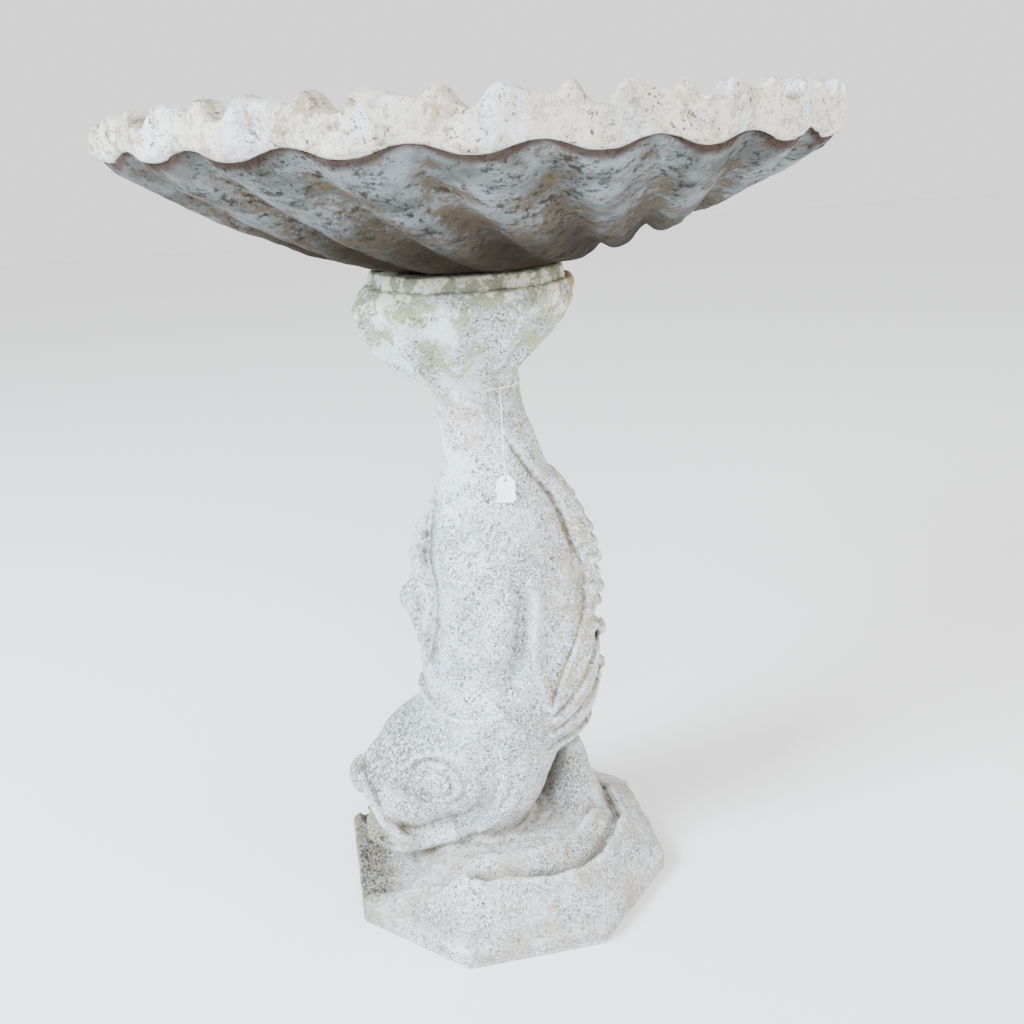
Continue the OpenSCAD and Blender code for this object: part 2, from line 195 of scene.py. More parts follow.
def denser(points, times):
    """Points between the points of a route, for a smoother tube."""
    fine = [a.lerp(b, k / times) for a, b in zip(points[:-1], points[1:]) for k in range(times)]
    return fine + [points[-1]]


# %% Paper tag
CARD = dict(w=16.5, h=24.0, t=0.5, clip=5.0, hole_in=4.0, hole_r=1.5)
TINY, SLACK = 1e-9, 1e-6


def tag_outline():
    """The card's edge, from the bottom left, with its upper corners clipped."""
    w, h, clip = CARD["w"] / 2, CARD["h"], CARD["clip"]
    return [(-w, 0), (w, 0), (w, h - clip), (w - clip, h), (clip - w, h), (-w, h - clip)]


def distance_to_side(start, ray, a, b):
    """How far a ray goes before it meets the straight side from a to b."""
    side = (b[0] - a[0], b[1] - a[1])
    cross = ray[0] * side[1] - ray[1] * side[0]
    if abs(cross) < TINY:
        return 1 / TINY
    gap = (a[0] - start[0], a[1] - start[1])
    along = (gap[0] * side[1] - gap[1] * side[0]) / cross
    place = (gap[0] * ray[1] - gap[1] * ray[0]) / cross
    return along if along > 0 and abs(place - 0.5) <= 0.5 + SLACK else 1 / TINY


def tag_points(sides=48):
    """An outer ring and a ring round the hole, one point of each for every direction."""
    centre = (0.0, CARD["h"] - CARD["hole_in"])
    outline = tag_outline()
    outer, hole = [], []
    for k in range(sides):
        angle = 2 * math.pi * (k + 0.5) / sides
        ray = (math.cos(angle), math.sin(angle))
        edges = zip(outline, outline[1:] + outline[:1])
        reach = min(distance_to_side(centre, ray, a, b) for a, b in edges)
        outer.append((centre[0] + ray[0] * reach, centre[1] + ray[1] * reach))
        hole.append((centre[0] + ray[0] * CARD["hole_r"], centre[1] + ray[1] * CARD["hole_r"]))
    return outer, hole


def make_tag():
    """The card: rings from the hole out to the edge, on a front and a back face, slightly curled."""
    outer, hole = tag_points()
    sides, rings = len(outer), 7
    points, faces = [], []
    for face in (0, 1):
        for ring in range(rings):
            share = ring / (rings - 1)
            for a, b in zip(hole, outer):
                x, z = a[0] + share * (b[0] - a[0]), a[1] + share * (b[1] - a[1])
                curl = 0.6 * (x / 8) ** 2 + 0.5 * max(0, (12 - z) / 12) ** 2
                drop = z - THREAD_DROP / MM + CARD["hole_in"] - CARD["h"]
                points.append((x, 0.65 + CARD["t"] * face - curl, drop))
    for ring in range(rings - 1):
        for k in range(sides):
            a, b = ring * sides + k, ring * sides + (k + 1) % sides
            faces.append((a, b, b + sides, a + sides))
            shift = rings * sides
            faces.append((a + shift, a + sides + shift, b + sides + shift, b + shift))
    for k in range(sides):
        n, back = (k + 1) % sides, rings * sides
        faces.append((k, k + back, n + back, n))
        edge = (rings - 1) * sides
        faces.append((edge + k, edge + n, edge + n + back, edge + k + back))
    return piece("paper_tag", [tuple((hang @ (Vector(point) * MM)) / MM) for point in points], faces,
                 "swing_tag", smooth=False)


thread = tube("hanging_thread", denser(route, 10), THREAD_D, "swing_tag", twist=0.5)
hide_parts("tag_thread")
tag = make_tag()
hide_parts("tag_card")

# %% [markdown]
# The other end of the thread goes once round the neck, in the crease under the tail, and is tied in
# a small knot with two turns and a cut end.

# %% Loop and knot
loop_low, loop_high = (Vector(corner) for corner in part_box("thread_loop"))
loop_mid = (loop_low + loop_high) / 2
neck_turn = Matrix.Rotation(FISH_TURN, 3, "Z")
LOOP_R, LOOP_SQUASH = 0.0398, 0.0030
loop_centre = Vector((0.001, 0, loop_mid.z))


def loop_point(angle):
    flat = Vector((LOOP_R * math.cos(angle), (LOOP_R - LOOP_SQUASH) * math.sin(angle),
                   -MM * math.sin(angle)))
    return neck_turn @ (loop_centre + flat)


LOOP_POINTS, LOOP_TWISTS = 160, 8
loop_points = [loop_point(2 * math.pi * k / LOOP_POINTS) for k in range(LOOP_POINTS)]
loop = tube("neck_loop", loop_points, THREAD_D, "pedestal",
            twist=2 * math.pi * LOOP_TWISTS / LOOP_POINTS, closed=True)
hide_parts("thread_loop")


def knot_point(t):
    """A thread wound twice round a little ball, with its end sticking out."""
    turn = 4 * math.pi * t
    r = KNOT_R * 0.62
    return KNOT + Vector((r * math.cos(turn), r * math.sin(turn) * 0.9, KNOT_R * (1.1 * t - 0.5)))


knot = tube("knot", [knot_point(k / 60) for k in range(61)]
            + [KNOT + Vector((0.0016, -0.0012, 0.0008)), KNOT + Vector((0.0024, -0.0022, -0.0002))],
            THREAD_D * 0.95, "pedestal")
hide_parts("thread_knot")
print("thread loop and knot at", [round(value, 4) for value in KNOT])

# %% [markdown]
# ## Carving with distances
# The pedestal is carved as a sculptor models clay: each lump is a small formula that says how far a
# point is outside it, in millimetres. Soft joins melt two lumps together and soft cuts press one into
# the other. A mesh is then drawn where the answer is zero. Boolean modifiers would leave hard seams,
# and sculpting by hand could not be repeated.

# %% Lumps of clay
def ball(points, centre, radii):
    """An ellipsoid."""
    near = (points - centre) / radii
    far = np.linalg.norm(near, axis=1)
    steep = np.linalg.norm(near / radii, axis=1) + 1e-9
    return far * (far - 1) / steep


def rod(points, start, end, start_r, end_r):
    """A round bar that tapers from one radius to another."""
    start, along = np.asarray(start, float), np.subtract(end, start)
    share = np.clip((points - start) @ along / (along @ along), 0, 1)
    return np.linalg.norm(points - start - share[:, None] * along, axis=1) \
        - (start_r + (end_r - start_r) * share)


def string(points, route, radii):
    """Rods joined end to end along a route."""
    stretches = zip(route[:-1], route[1:], radii[:-1], radii[1:])
    return np.min([rod(points, a, b, ra, rb) for a, b, ra, rb in stretches], axis=0)


def join(a, b, soft):
    """Both shapes, melted together over a soft distance."""
    mix = np.clip(0.5 + 0.5 * (b - a) / soft, 0, 1)
    return b + (a - b) * mix - soft * mix * (1 - mix)


def cut(a, b, soft):
    """Shape a with shape b pressed out of it."""
    return -join(-a, b, soft)


def curve(heights, sizes, blur=9):
    """A smooth curve through sizes at heights, as a function of height."""
    fine = np.arange(heights[0] - 40, heights[-1] + 41, 1.0)
    rough = np.interp(fine, heights, sizes)
    window = np.hanning(2 * blur + 1)
    padded = np.pad(rough, blur, mode="edge")
    even = np.convolve(padded, window / window.sum(), mode="valid")
    return lambda z: np.interp(z, fine, even)


# %% [markdown]
# Fine detail is drawn on the clay with a modelling tool: a line is a ridge, a furrow, or the edge of
# a layer that lies over the next one, as a gill cover lies over the body. Each is a rise or a fall
# of a millimetre or more, worked out from the distance to the line.

# %% Drawn lines
def from_line(u, v, route):
    """Distance to a line drawn on a plane, positive to the left of its direction."""
    best, side = np.full(len(u), 1e9), np.zeros(len(u))
    for (ua, va), (ub, vb) in zip(route[:-1], route[1:]):
        du, dv = ub - ua, vb - va
        share = np.clip(((u - ua) * du + (v - va) * dv) / (du * du + dv * dv), 0, 1)
        gap_u, gap_v = u - ua - share * du, v - va - share * dv
        far = np.hypot(gap_u, gap_v)
        nearer = far < best
        best = np.where(nearer, far, best)
        side = np.where(nearer, np.sign(du * gap_v - dv * gap_u), side)
    return best * np.where(side < 0, -1, 1)


def ridge(u, v, route, high, wide):
    """A rounded ridge along a line, or a furrow if its height is below zero."""
    return high * np.exp(-(from_line(u, v, route) / wide) ** 2)


def layer(u, v, route, high, edge, fade):
    """A layer with its crisp edge on the line, that fades out to the left of the line."""
    far = from_line(u, v, route)
    return high * smooth_step(far, -edge, edge) * np.exp(-np.maximum(far, 0) / fade)


# %% [markdown]
# ## The fish's body and the capital
# The body is a column whose left side, right side and thickness each follow a curve with height. The
# capital is the fish's tail fin, bundled: it flares from the neck in pleats that fan outwards.

# %% Body
low, high = (np.array(corner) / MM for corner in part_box("fish_pedestal"))
BASE_FLATS = high[0] - low[0]
CASTING_H = high[2] - low[2]

body_left = curve([60, 90, 130, 165, 200, 240, 262, 282, 304, 330,
                   350, 368, 388, 404, 428, 440, 469, 499, 520],
                  [55, 60, 64, 66, 69, 70, 67, 65, 64, 64,
                   63, 59, 54, 46, 36, 32, 34, 37, 40], blur=7)
body_right = curve([60, 90, 130, 165, 200, 240, 300, 350, 380, 396, 407, 420, 437, 465, 497, 520],
                   [28, 44, 60, 74, 84, 88, 88, 84, 77, 72, 66, 61, 55, 47, 39, 38], blur=7)
body_half = curve([60, 90, 130, 165, 200, 240, 300, 350, 380, 404, 430, 465, 500, 520],
                  [52, 56, 58, 60, 60, 58, 57, 54, 51, 48, 43, 37, 35, 36])


def body(points):
    """A column with an oval outline, whose sides are curves of height."""
    x, y, z = points.T
    left, right, deep = body_left(z), body_right(z), body_half(z)
    middle, wide = (right - left) / 2, (right + left) / 2
    far = np.hypot((x - middle) / wide, y / deep)
    return (far - 1) * np.minimum(wide, deep)


# %% Capital
tail_left = curve([490, 500, 506, 512, 520, 528, 538, 551, 564, 575, 583, 590, 598, 605],
                  [34, 37, 39, 48, 60, 70, 79, 87, 94, 98, 100, 96, 87, 84], blur=4)
tail_right = curve([490, 500, 506, 515, 527, 538, 551, 564, 575, 583, 590, 598, 605],
                   [37, 38, 37, 37, 45, 54, 67, 79, 86, 90, 92, 89, 84], blur=4)
PLEATS = 11
PLEAT_DEPTH = 6.5


def capital(points):
    x, y, z = points.T
    left, right = tail_left(z), tail_right(z)
    middle, wide = (right - left) / 2, (right + left) / 2
    angle = np.arctan2(y, x - middle)
    folds = smooth_step(z, 505, 540) * (1 - smooth_step(z, 574, 592))
    wave = np.cos(PLEATS * (angle + math.pi / 2))
    pleat = PLEAT_DEPTH * folds * (wave - 0.25 * (1 - wave * wave))
    brim = 2.5 * np.exp(-((z - 584) / 5) ** 2)
    side = np.hypot(x - middle, y) - wide - pleat - brim * (0.4 + 0.6 * wave)
    return np.maximum(np.maximum(side * 0.7, z - CASTING_H), 488 - z)


# %% [markdown]
# ## The fish's head
# The head is seen from its side and faces left. Skull, snout, curled lip, gill cover and jaw are
# lumps; mouth and chin are pressed in. Both sides are alike, so the formulas use the distance from
# the fish's middle plane.

# %% Head lumps
LIP = [(-137, -9, 122), (-134, -18, 110), (-125, -31, 92),
       (-113, -43, 77), (-102, -50, 68), (-90, -53, 64)]
LIP_RADII = [6, 7, 7, 7, 6, 3]
MOUTH = [(-172, 0, 82), (-146, -6, 78), (-130, -28, 74),
         (-116, -46, 62), (-102, -57, 54), (-86, -62, 52)]
MOUTH_RADII = [10, 8, 7, 6, 5, 3]
LOWER_LIP = [(-134, -10, 60), (-130, -26, 55), (-117, -38, 53),
             (-98, -46, 55), (-74, -50, 60), (-48, -52, 66)]
LOWER_LIP_RADII = [6, 8, 8, 8, 8, 6]
NOSTRIL = (-140, -12, 125)


def head(points):
    skull = ball(points, (-57, 0, 128), (65, 60, 62))
    snout = rod(points, (-88, 0, 126), (-131, 0, 112), 42, 20)
    beak = ball(points, (-140, 0, 108), (12, 16, 20))
    muzzle = ball(points, (-82, 0, 92), (48, 52, 38))
    face = join(join(join(skull, snout, 12), beak, 6), muzzle, 10)
    face = join(face, string(points, LIP, LIP_RADII), 4)
    jaw = ball(points, (-98, 0, 60), (38, 42, 15))
    throat = ball(points, (-52, 0, 66), (54, 54, 24))
    jaw = join(join(jaw, string(points, LOWER_LIP, LOWER_LIP_RADII), 5), throat, 8)
    mouth = string(points, MOUTH, MOUTH_RADII)
    face = join(cut(face, mouth, 3), cut(jaw, mouth, 3), 3)
    nostril = ball(points, NOSTRIL, (7, 7, 5))
    face = cut(face, nostril, 3)
    gill = ball(points, (-33, 0, 137), (61, 66, 70))
    spur = rod(points, (-24, -50, 170), (2, -57, 206), 13, 5)
    return join(face, join(gill, spur, 9), 5)


# %% [markdown]
# The eye is a low boss in a raised ring, with a spiral scratched into it. A brow, cheek folds and the
# edge of the gill cover are drawn round it.

# %% Head lines
EYE_AT = (-60, 131)
EYE_RINGS = [(2.2, 20.5, 3.6), (-1.2, 14.5, 2.4), (-3.0, 26.5, 3.0)]
COIL = 6.2
BROW = [(-108, 126), (-98, 142), (-79, 158), (-55, 165), (-32, 158), (-20, 142), (-19, 124), (-26, 108)]
NAPE = [(-74, 216), (-62, 203), (-46, 197), (-28, 197), (4, 209)]
GILL = [(6, 211), (17, 200), (26, 187), (29, 169), (28, 140), (26, 121), (16, 101), (0, 84), (-20, 72)]
GILL_FOLDS = [[(-2, 148), (-5, 120), (-12, 96), (-28, 80)], [(14, 165), (13, 140), (8, 112), (-4, 94)]]


def head_lines(x, z):
    across, up = x - EYE_AT[0], z - EYE_AT[1]
    away, angle = np.hypot(across, up * 1.04), np.arctan2(up, across)
    ring = sum(high * np.exp(-((away - radius) / wide) ** 2) for high, radius, wide in EYE_RINGS)
    boss = 3.6 * (1 - smooth_step(away, 11, 17))
    spiral = -2.8 * np.maximum(0, np.cos(2 * math.pi * away / COIL - angle)) ** 2
    spiral = spiral * (1 - smooth_step(away, 12, 15))
    pupil = -1.2 * np.exp(-(away / 2.0) ** 2)
    folds = layer(x, z, BROW, -3.0, 1.8, 20) + ridge(x, z, BROW, 2.6, 4.5)
    folds += layer(x, z, NAPE[::-1], 5.0, 1.6, 26) + layer(x, z, GILL[::-1], 6.0, 1.8, 20)
    for fold in GILL_FOLDS:
        folds += ridge(x, z, fold, -1.6, 3.2) + ridge(x + 5, z, fold, 1.4, 4)
    lip = ridge(x, z, [(side, up) for side, _, up in LIP], 2.8, 3.0)
    return ring + boss + spiral + pupil + folds + lip


# %% [markdown]
# ## Fins
# The side fin is a fan of long feathers that lie over each other, behind a strong leading ridge and a
# deep furrow. A leafy fin runs up the belly's edge, and a ragged one down the back.

# %% Fins
FIN_FEATHERS = [[(90, 303), (90, 292), (79, 266), (67, 243), (56, 214), (50, 196)],
                [(103, 258), (92, 236), (82, 221), (70, 207), (58, 196), (50, 188)],
                [(100, 215), (86, 199), (72, 187), (61, 178), (50, 171)],
                [(86, 173), (80, 169), (66, 159), (50, 151)]]
LEADING = [(40, 327), (44, 313), (42, 293), (40, 266), (42, 247), (46, 226), (52, 205)]
FURROW = [(36, 344), (34, 322), (29, 300), (27, 272), (22, 244), (12, 214)]
BELLY_EDGE = [(30, 455), (44, 432), (57, 413), (64, 403), (71, 386),
              (77, 365), (82, 352), (88, 334), (92, 316)]
BELLY_STRIP = [(56, 414), (70, 396), (79, 378), (84, 360), (87, 340), (89, 315), (88, 285)]
LEAF_TIPS = [(75, 408), (85, 395), (93, 379), (101, 362),
             (104, 348), (107, 333), (105, 317), (109, 302)]
FIN_TIPS = [(106, 288), (108, 259), (107, 222), (99, 193), (90, 168)]
BACK_LINE = [(-42, 396), (-48, 382), (-51, 352), (-46, 314), (-49, 280), (-57, 248)]
BACK_TEETH = [(-51, 396), (-67, 368), (-73, 346), (-73, 324), (-86, 304), (-77, 281), (-74, 262)]


def leaves(points):
    """The pointed edges of the fins, which stand out from the body's outline."""
    plate = ball(points, (58, -14, 232), (42, 40, 88))
    strip = string(points, [(x, -7, z) for x, z in BELLY_STRIP], [6, 8, 9, 10, 10, 10, 10])
    shape = join(plate, strip, 10)
    for x, z in LEAF_TIPS + FIN_TIPS:
        shape = join(shape, rod(points, (x - 18, -12, z + 8), (x - 3, -3, z), 8, 3), 2)
    for (xa, za), (xb, zb) in zip(BACK_TEETH[:-1], BACK_TEETH[1:]):
        tooth = rod(points, (xa + 15, -8, za - 6), (xa + 4, -2, za), 10, 4)
        web = rod(points, (xa + 12, -6, za), (xb + 12, -6, zb), 9, 9)
        shape = join(shape, join(tooth, web, 4), 3)
    return shape


def fin_lines(x, z):
    faded = smooth_step(z, 205, 262) * (1 - smooth_step(z, 296, 350))
    lines = ridge(x, z, LEADING, 8.0, 6.5) + ridge(x, z, FURROW, -11.0, 9.0) * faded
    for feather in FIN_FEATHERS:
        lines += (layer(x, z, feather, 6.0, 1.6, 10) + ridge(x, z, feather, -3.0, 2.2)) \
            * smooth_step(x, 44, 56)
    lines += layer(x, z, BELLY_EDGE, 5.0, 2.2, 18) + ridge(x, z, BELLY_EDGE, -2.0, 2.5)
    lines += ridge(x, z, BACK_LINE, -6.0, 7.5)
    return lines


def scales(x, z):
    """Faint diamonds on the fish's side, almost worn away."""
    worn = smooth_step(z, 235, 275) * (1 - smooth_step(z, 395, 430)) * smooth_step(x, -44, -30) \
        * (1 - smooth_step(x, 14, 34))
    rising = np.sin(math.pi * (x + 0.85 * z) / 27)
    falling = np.sin(math.pi * (x - 0.85 * z) / 27)
    lattice = np.exp(-(rising / 0.25) ** 2) + np.exp(-(falling / 0.25) ** 2)
    return 1.8 * worn * lattice


# %% The whole fish
def where(points, chosen, shape, elsewhere=60.0):
    """A shape that is only worked out for chosen points, to save time, and a number elsewhere."""
    answer = np.full(len(points), elsewhere)
    if chosen.any():
        answer[chosen] = shape(points[chosen])
    return answer


def own_side(points):
    """Both sides of the fish are alike, so every point is brought to its -Y side."""
    return points * (1, 0, 1) - np.abs(points) * (0, 1, 0)


FOLD = [(-40, -14, 516), (-24, -32, 506), (-4, -39, 496), (10, -38, 491)]


def fish(points):
    """The whole fish, in its own frame: it faces -X and its side is towards -Y."""
    points = own_side(points)
    z = points[:, 2]
    shape = join(body(points), where(points, (z > 130) & (z < 420), leaves), 6)
    tail = where(points, z > 470, lambda p: join(capital(p), string(p, FOLD, [6, 6, 5, 2]), 4))
    shape = join(join(shape, tail, 6), where(points, z < 232, head), 4)
    shape = shape - where(points, (z > 140) & (z < 470),
                          lambda p: fin_lines(p[:, 0], p[:, 2]) + scales(p[:, 0], p[:, 2]), 0.0)
    return shape - where(points, z < 240, lambda p: head_lines(p[:, 0], p[:, 2]), 0.0)


# %% [markdown]
# ## The rock
# The base is an octagon with a plain foot. Above it the rock rises in waves: a low one sweeps round
# the front, a higher one carries the fish's head, and one stands up behind the body like a breaker.
# Its surface is a height above each place on the ground, which suits waves. On the head's side it
# stays low, under the chin, so a soft ceiling is laid over it there.

# %% Rock
FOOT_H = 20
BORE_R = 11.4
BORE_FLOOR = 557.7
OCTAGON = [(math.cos(math.radians(45 * k)), math.sin(math.radians(45 * k))) for k in range(8)]
LOW_WAVE = [(-58, -104), (-36, -112), (-14, -112), (24, -116), (54, -110),
            (82, -90), (104, -64), (122, -30), (118, 10)]
HIGH_WAVE = [(-40, -84), (-19, -89), (12, -90), (40, -82), (62, -68), (84, -44)]
SIDE_WAVE = [(-138, -58), (-112, -74), (-86, -86), (-62, -100)]
WAVES = [(LOW_WAVE, 16, 24, 5), (HIGH_WAVE, 17, 20, 5), (SIDE_WAVE, 11, 18, 6)]
BREAKER = [(82, (78, 14), (22, 30), 0), (66, (34, 66), (34, 26), 20)]
CAVE = [(-30, (-112, -40), (32, 20), 10)]
BACK_WAVES = [(30, (-60, 92), (34, 16), -30), (18, (10, 118), (50, 12), 0),
              (20, (96, 78), (30, 14), -45), (16, (-118, 70), (14, 34), 0)]


def inside_edge(x, y):
    """Distance in from the nearest side of the octagon."""
    return BASE_FLATS / 2 - np.max([x * a + y * b for a, b in OCTAGON], axis=0)


def hill(x, y, high, centre, size, turn):
    """A smooth hill, longer one way than the other, turned by degrees."""
    c, s = math.cos(math.radians(turn)), math.sin(math.radians(turn))
    u = ((x - centre[0]) * c + (y - centre[1]) * s) / size[0]
    v = (-(x - centre[0]) * s + (y - centre[1]) * c) / size[1]
    return high * np.exp(-(u * u + v * v))


def wave(x, y, crest, high, outer, inner):
    """A wave with a gentle outer slope and a steep inner one, seen along its crest."""
    far = from_line(x, y, crest)
    return high * np.exp(-(far / np.where(far < 0, outer, inner)) ** 2)


def rock_height(x, y):
    edge = inside_edge(x, y)
    slope = FOOT_H + 38 * smooth_step(edge, -4, 84)
    waves = sum(wave(x, y, *each) for each in WAVES)
    waves += 0.5 * np.cos(2 * math.pi * from_line(x, y, LOW_WAVE) / 13) * smooth_step(edge, 6, 20)
    left_wall = 36 * smooth_step(-x, 92, 116) * smooth_step(y, -20, 14) * (1 - smooth_step(y, 56, 88))
    breaker, cave, back_waves = (sum(hill(x, y, *each) for each in hills)
                                 for hills in (BREAKER, CAVE, BACK_WAVES))
    height = slope + waves + left_wall + breaker + cave + back_waves
    ceiling = 34 + 86 * smooth_step(x, -124, -78)
    return join(height, ceiling, 6)


def rock(points):
    x, y, z = points.T
    above = (z - rock_height(x, y)) * 0.62
    walls = -inside_edge(x, y)
    return np.maximum(join(-above, -walls, 3) * -1, -z)


# %% [markdown]
# ## The whole casting
# The fish is turned a little on its rock. The chin is pressed out of the ground, the dowel's bore is
# drilled from the top, and frost has worn everything but the foot, the bore and the top's edge.

# %% Casting
CHIN = ((-118, -44, 30), (34, 30, 13))
FROST = [(0.7, 18, 1), (0.45, 7, 2)]
TAG_ROOM, TAG_ROOM_AT, TAG_ROOM_SIZE = 2.5, (4, 470), (30, 34)


def fish_frame(points):
    """Points of the object's frame in the fish's own frame."""
    c, s = math.cos(-FISH_TURN), math.sin(-FISH_TURN)
    return points @ np.array([[c, s, 0], [-s, c, 0], [0, 0, 1]])


def wear_of(points):
    """How much frost has taken, in millimetres; a foot, a bore and an edge stay true."""
    z, from_axis = points[:, 2], np.hypot(points[:, 0], points[:, 1])
    worn = roughness(points, FROST)
    return worn * (smooth_step(z, 3, 12) * smooth_step(from_axis, 12, 16)
                   * (1 - smooth_step(z, CASTING_H - 8, CASTING_H - 1)))


def pedestal_shape(points):
    """How far points, in millimetres in the object's frame, are outside the casting."""
    x, y, z = points.T
    own = fish_frame(points)
    ground = cut(where(points, z < 190, rock), ball(own_side(own), *CHIN), 5)
    shape = join(ground, fish(own), 6)
    bore = np.maximum(np.hypot(x, y) - BORE_R, BORE_FLOOR - z)
    shape = np.maximum(shape, -bore) + wear_of(points)
    across, up = (x - TAG_ROOM_AT[0]) / TAG_ROOM_SIZE[0], (z - TAG_ROOM_AT[1]) / TAG_ROOM_SIZE[1]
    tag_room = TAG_ROOM * np.exp(-across ** 2 - up ** 2) * smooth_step(-y, 0, 20)
    return np.max([shape + tag_room, -z, z - CASTING_H], axis=0)


# %% [markdown]
# ## From distances to a mesh
# A grid of points is tested, and every grid cube with points both inside and outside gets one
# vertex, at the middle of the places where its edges cross the surface. Neighbouring vertices are
# joined into squares. To save time only the cubes near the surface are tested finely.

# %% Surface mesher
def surface_mesh(shape, lowest, highest, step, coarse=5, reach=1.9):
    """Points and square faces of the zero surface of a distance formula."""
    count = np.ceil((np.subtract(highest, lowest)) / (step * coarse)).astype(int) + 1
    size = count * coarse + 1
    centres = np.stack(np.meshgrid(*[np.arange(n) for n in count], indexing="ij"), -1).reshape(-1, 3)
    near = np.abs(shape(lowest + (centres + 0.5) * coarse * step)) < reach * coarse * step
    values = np.full(size, 1.0, dtype=np.float32)
    known = np.zeros(size, dtype=bool)
    for block in centres[near]:
        known[tuple(slice(n * coarse, n * coarse + coarse + 1) for n in block)] = True
    tested = np.argwhere(known)
    print("testing", len(tested), "places")
    for chunk in np.array_split(tested, max(1, len(tested) // 200000)):
        values[tuple(chunk.T)] = shape(lowest + chunk * step)
    corners = np.array(list(np.ndindex(2, 2, 2)))
    cells = tested[np.all(tested < size - 1, axis=1)]
    at = cells[:, None, :] + corners
    whole = known[at[..., 0], at[..., 1], at[..., 2]].all(axis=1)
    cells, at = cells[whole], at[whole]
    value = values[at[..., 0], at[..., 1], at[..., 2]]
    mixed = (value.min(axis=1) < 0) & (value.max(axis=1) >= 0)
    cells, value = cells[mixed], value[mixed]
    total, crossings = np.zeros((len(cells), 3)), np.zeros(len(cells))
    for a, first in enumerate(corners):
        for axis in range(3):
            if first[axis]:
                continue
            second = first.copy()
            second[axis] = 1
            b = int(second @ (4, 2, 1))
            crosses = (value[:, a] < 0) != (value[:, b] < 0)
            share = value[:, a] / np.where(crosses, value[:, a] - value[:, b], 1)
            total += crosses[:, None] * (first + share[:, None] * (second - first))
            crossings += crosses
    points = lowest + (cells + total / crossings[:, None]) * step
    number = np.full(size, -1, dtype=np.int64)
    number[tuple(cells.T)] = np.arange(len(cells))
    faces = []
    for axis in range(3):
        u, v = np.eye(3, dtype=int)[(axis + 1) % 3], np.eye(3, dtype=int)[(axis + 2) % 3]
        ahead = np.eye(3, dtype=int)[axis]
        inside = value[:, 0] < 0
        changes = inside != (value[:, int(ahead @ (4, 2, 1))] < 0)
        edge = cells[changes]
        ring = [number[tuple((edge - shift).T)] for shift in (0 * u, u, u + v, v)]
        quads = np.stack(ring, axis=1)
        quads = np.where(inside[changes][:, None], quads, quads[:, ::-1])
        faces.append(quads[(quads >= 0).all(axis=1)])
    return points, np.concatenate(faces)


def slope_of(shape, points, step=0.6):
    """The outward direction of a distance formula, and its steepness."""
    sides = [shape(points + step * axis) - shape(points - step * axis) for axis in np.eye(3)]
    grown = np.stack(sides, axis=1) / (2 * step)
    steep = np.linalg.norm(grown, axis=1) + 1e-6
    return grown / steep[:, None], steep


# %% Pedestal mesh
GRID = 2.7
casting_points, casting_faces = surface_mesh(
    pedestal_shape, np.array([-158.0, -158.0, -4.0]), np.array([158.0, 158.0, 604.0]), GRID)
print("pedestal mesh:", len(casting_points), "points")

# %% [markdown]
# The mesh is pulled twice more onto the zero surface, so that thin ridges come out sharp. Then each
# point gets three marks for the material: how deep it lies in a wide hollow and in a fine one, where
# dirt gathers and shade is painted, and how much it stands out, where weather wears the surface pale and
# a highlight is painted.

# %% Pedestal object
PULL = 0.9
for _ in range(2):
    outward, steep = slope_of(pedestal_shape, casting_points)
    casting_points = casting_points - outward * (pedestal_shape(casting_points) / steep)[:, None] * PULL
outward, steep = slope_of(pedestal_shape, casting_points)
pedestal = piece("fish_casting", casting_points, casting_faces, "pedestal")
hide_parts("fish_pedestal")


def hollowness(reach):
    """0 on flat ground and up to 1 in a hollow, felt at a distance above the surface."""
    return 1 - np.clip(pedestal_shape(casting_points + outward * reach) / reach, 0, 1.2)


def standing_out(reach):
    """Above 0 on an edge, where the casting is thin under the surface."""
    return np.clip(1 + pedestal_shape(casting_points - outward * reach) / reach, -0.5, 1)


WIDE, FINE, EDGE, NOSTRIL_R = 14, 5, 6, 7
nostril_gap = np.linalg.norm(own_side(fish_frame(casting_points)) - NOSTRIL, axis=1)
# The hollow marks carry dirt and painted shade; the nostril's pit gets extra painted shade.
mark(pedestal, "hollow", hollowness(WIDE) + np.exp(-(nostril_gap / NOSTRIL_R) ** 2))
mark(pedestal, "fine_hollow", hollowness(FINE))
# The crest mark carries pale wear and a painted highlight on edges.
mark(pedestal, "crest", standing_out(EDGE))
print("fish casting:", len(pedestal.data.polygons), "faces")

# %% [markdown]
# ## The scallop-shell basin
# The flutes of a scallop spring from its hinge, which lies off to one side, so they cross the round
# bowl at a slant and look like a spiral. The basin is a grid of points: round the bowl one way, and
# along its profile the other way, from the seat, up the underside, round the rim and down inside.
# Heights are formulas of the place, which keeps the flutes of both faces in step.

# %% Basin measures
shell_low, shell_high = (np.array(corner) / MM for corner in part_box("basin_shell"))
bed_low, bed_high = (np.array(corner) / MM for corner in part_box("bedding_mortar"))
SEAT_Z = bed_high[2]
BASIN_R = (shell_high[1] - shell_low[1]) / 2
BASIN_X = (shell_high[0] + shell_low[0]) / 2
BASIN_RISE, RIM_H, RIM_W, SHELL_T, SEAT_R = 96, 36, 26, 28, 62
HINGE_OUT, HINGE_AT = 262, math.radians(43)
HINGE = np.array([BASIN_X + HINGE_OUT * math.cos(HINGE_AT), HINGE_OUT * math.sin(HINGE_AT)])
FLUTE_STEP, FLUTE_PHASE, FLUTE_DEPTH = 8, 3, 11
print("basin radius", round(BASIN_R, 1), "at x", round(BASIN_X, 1))


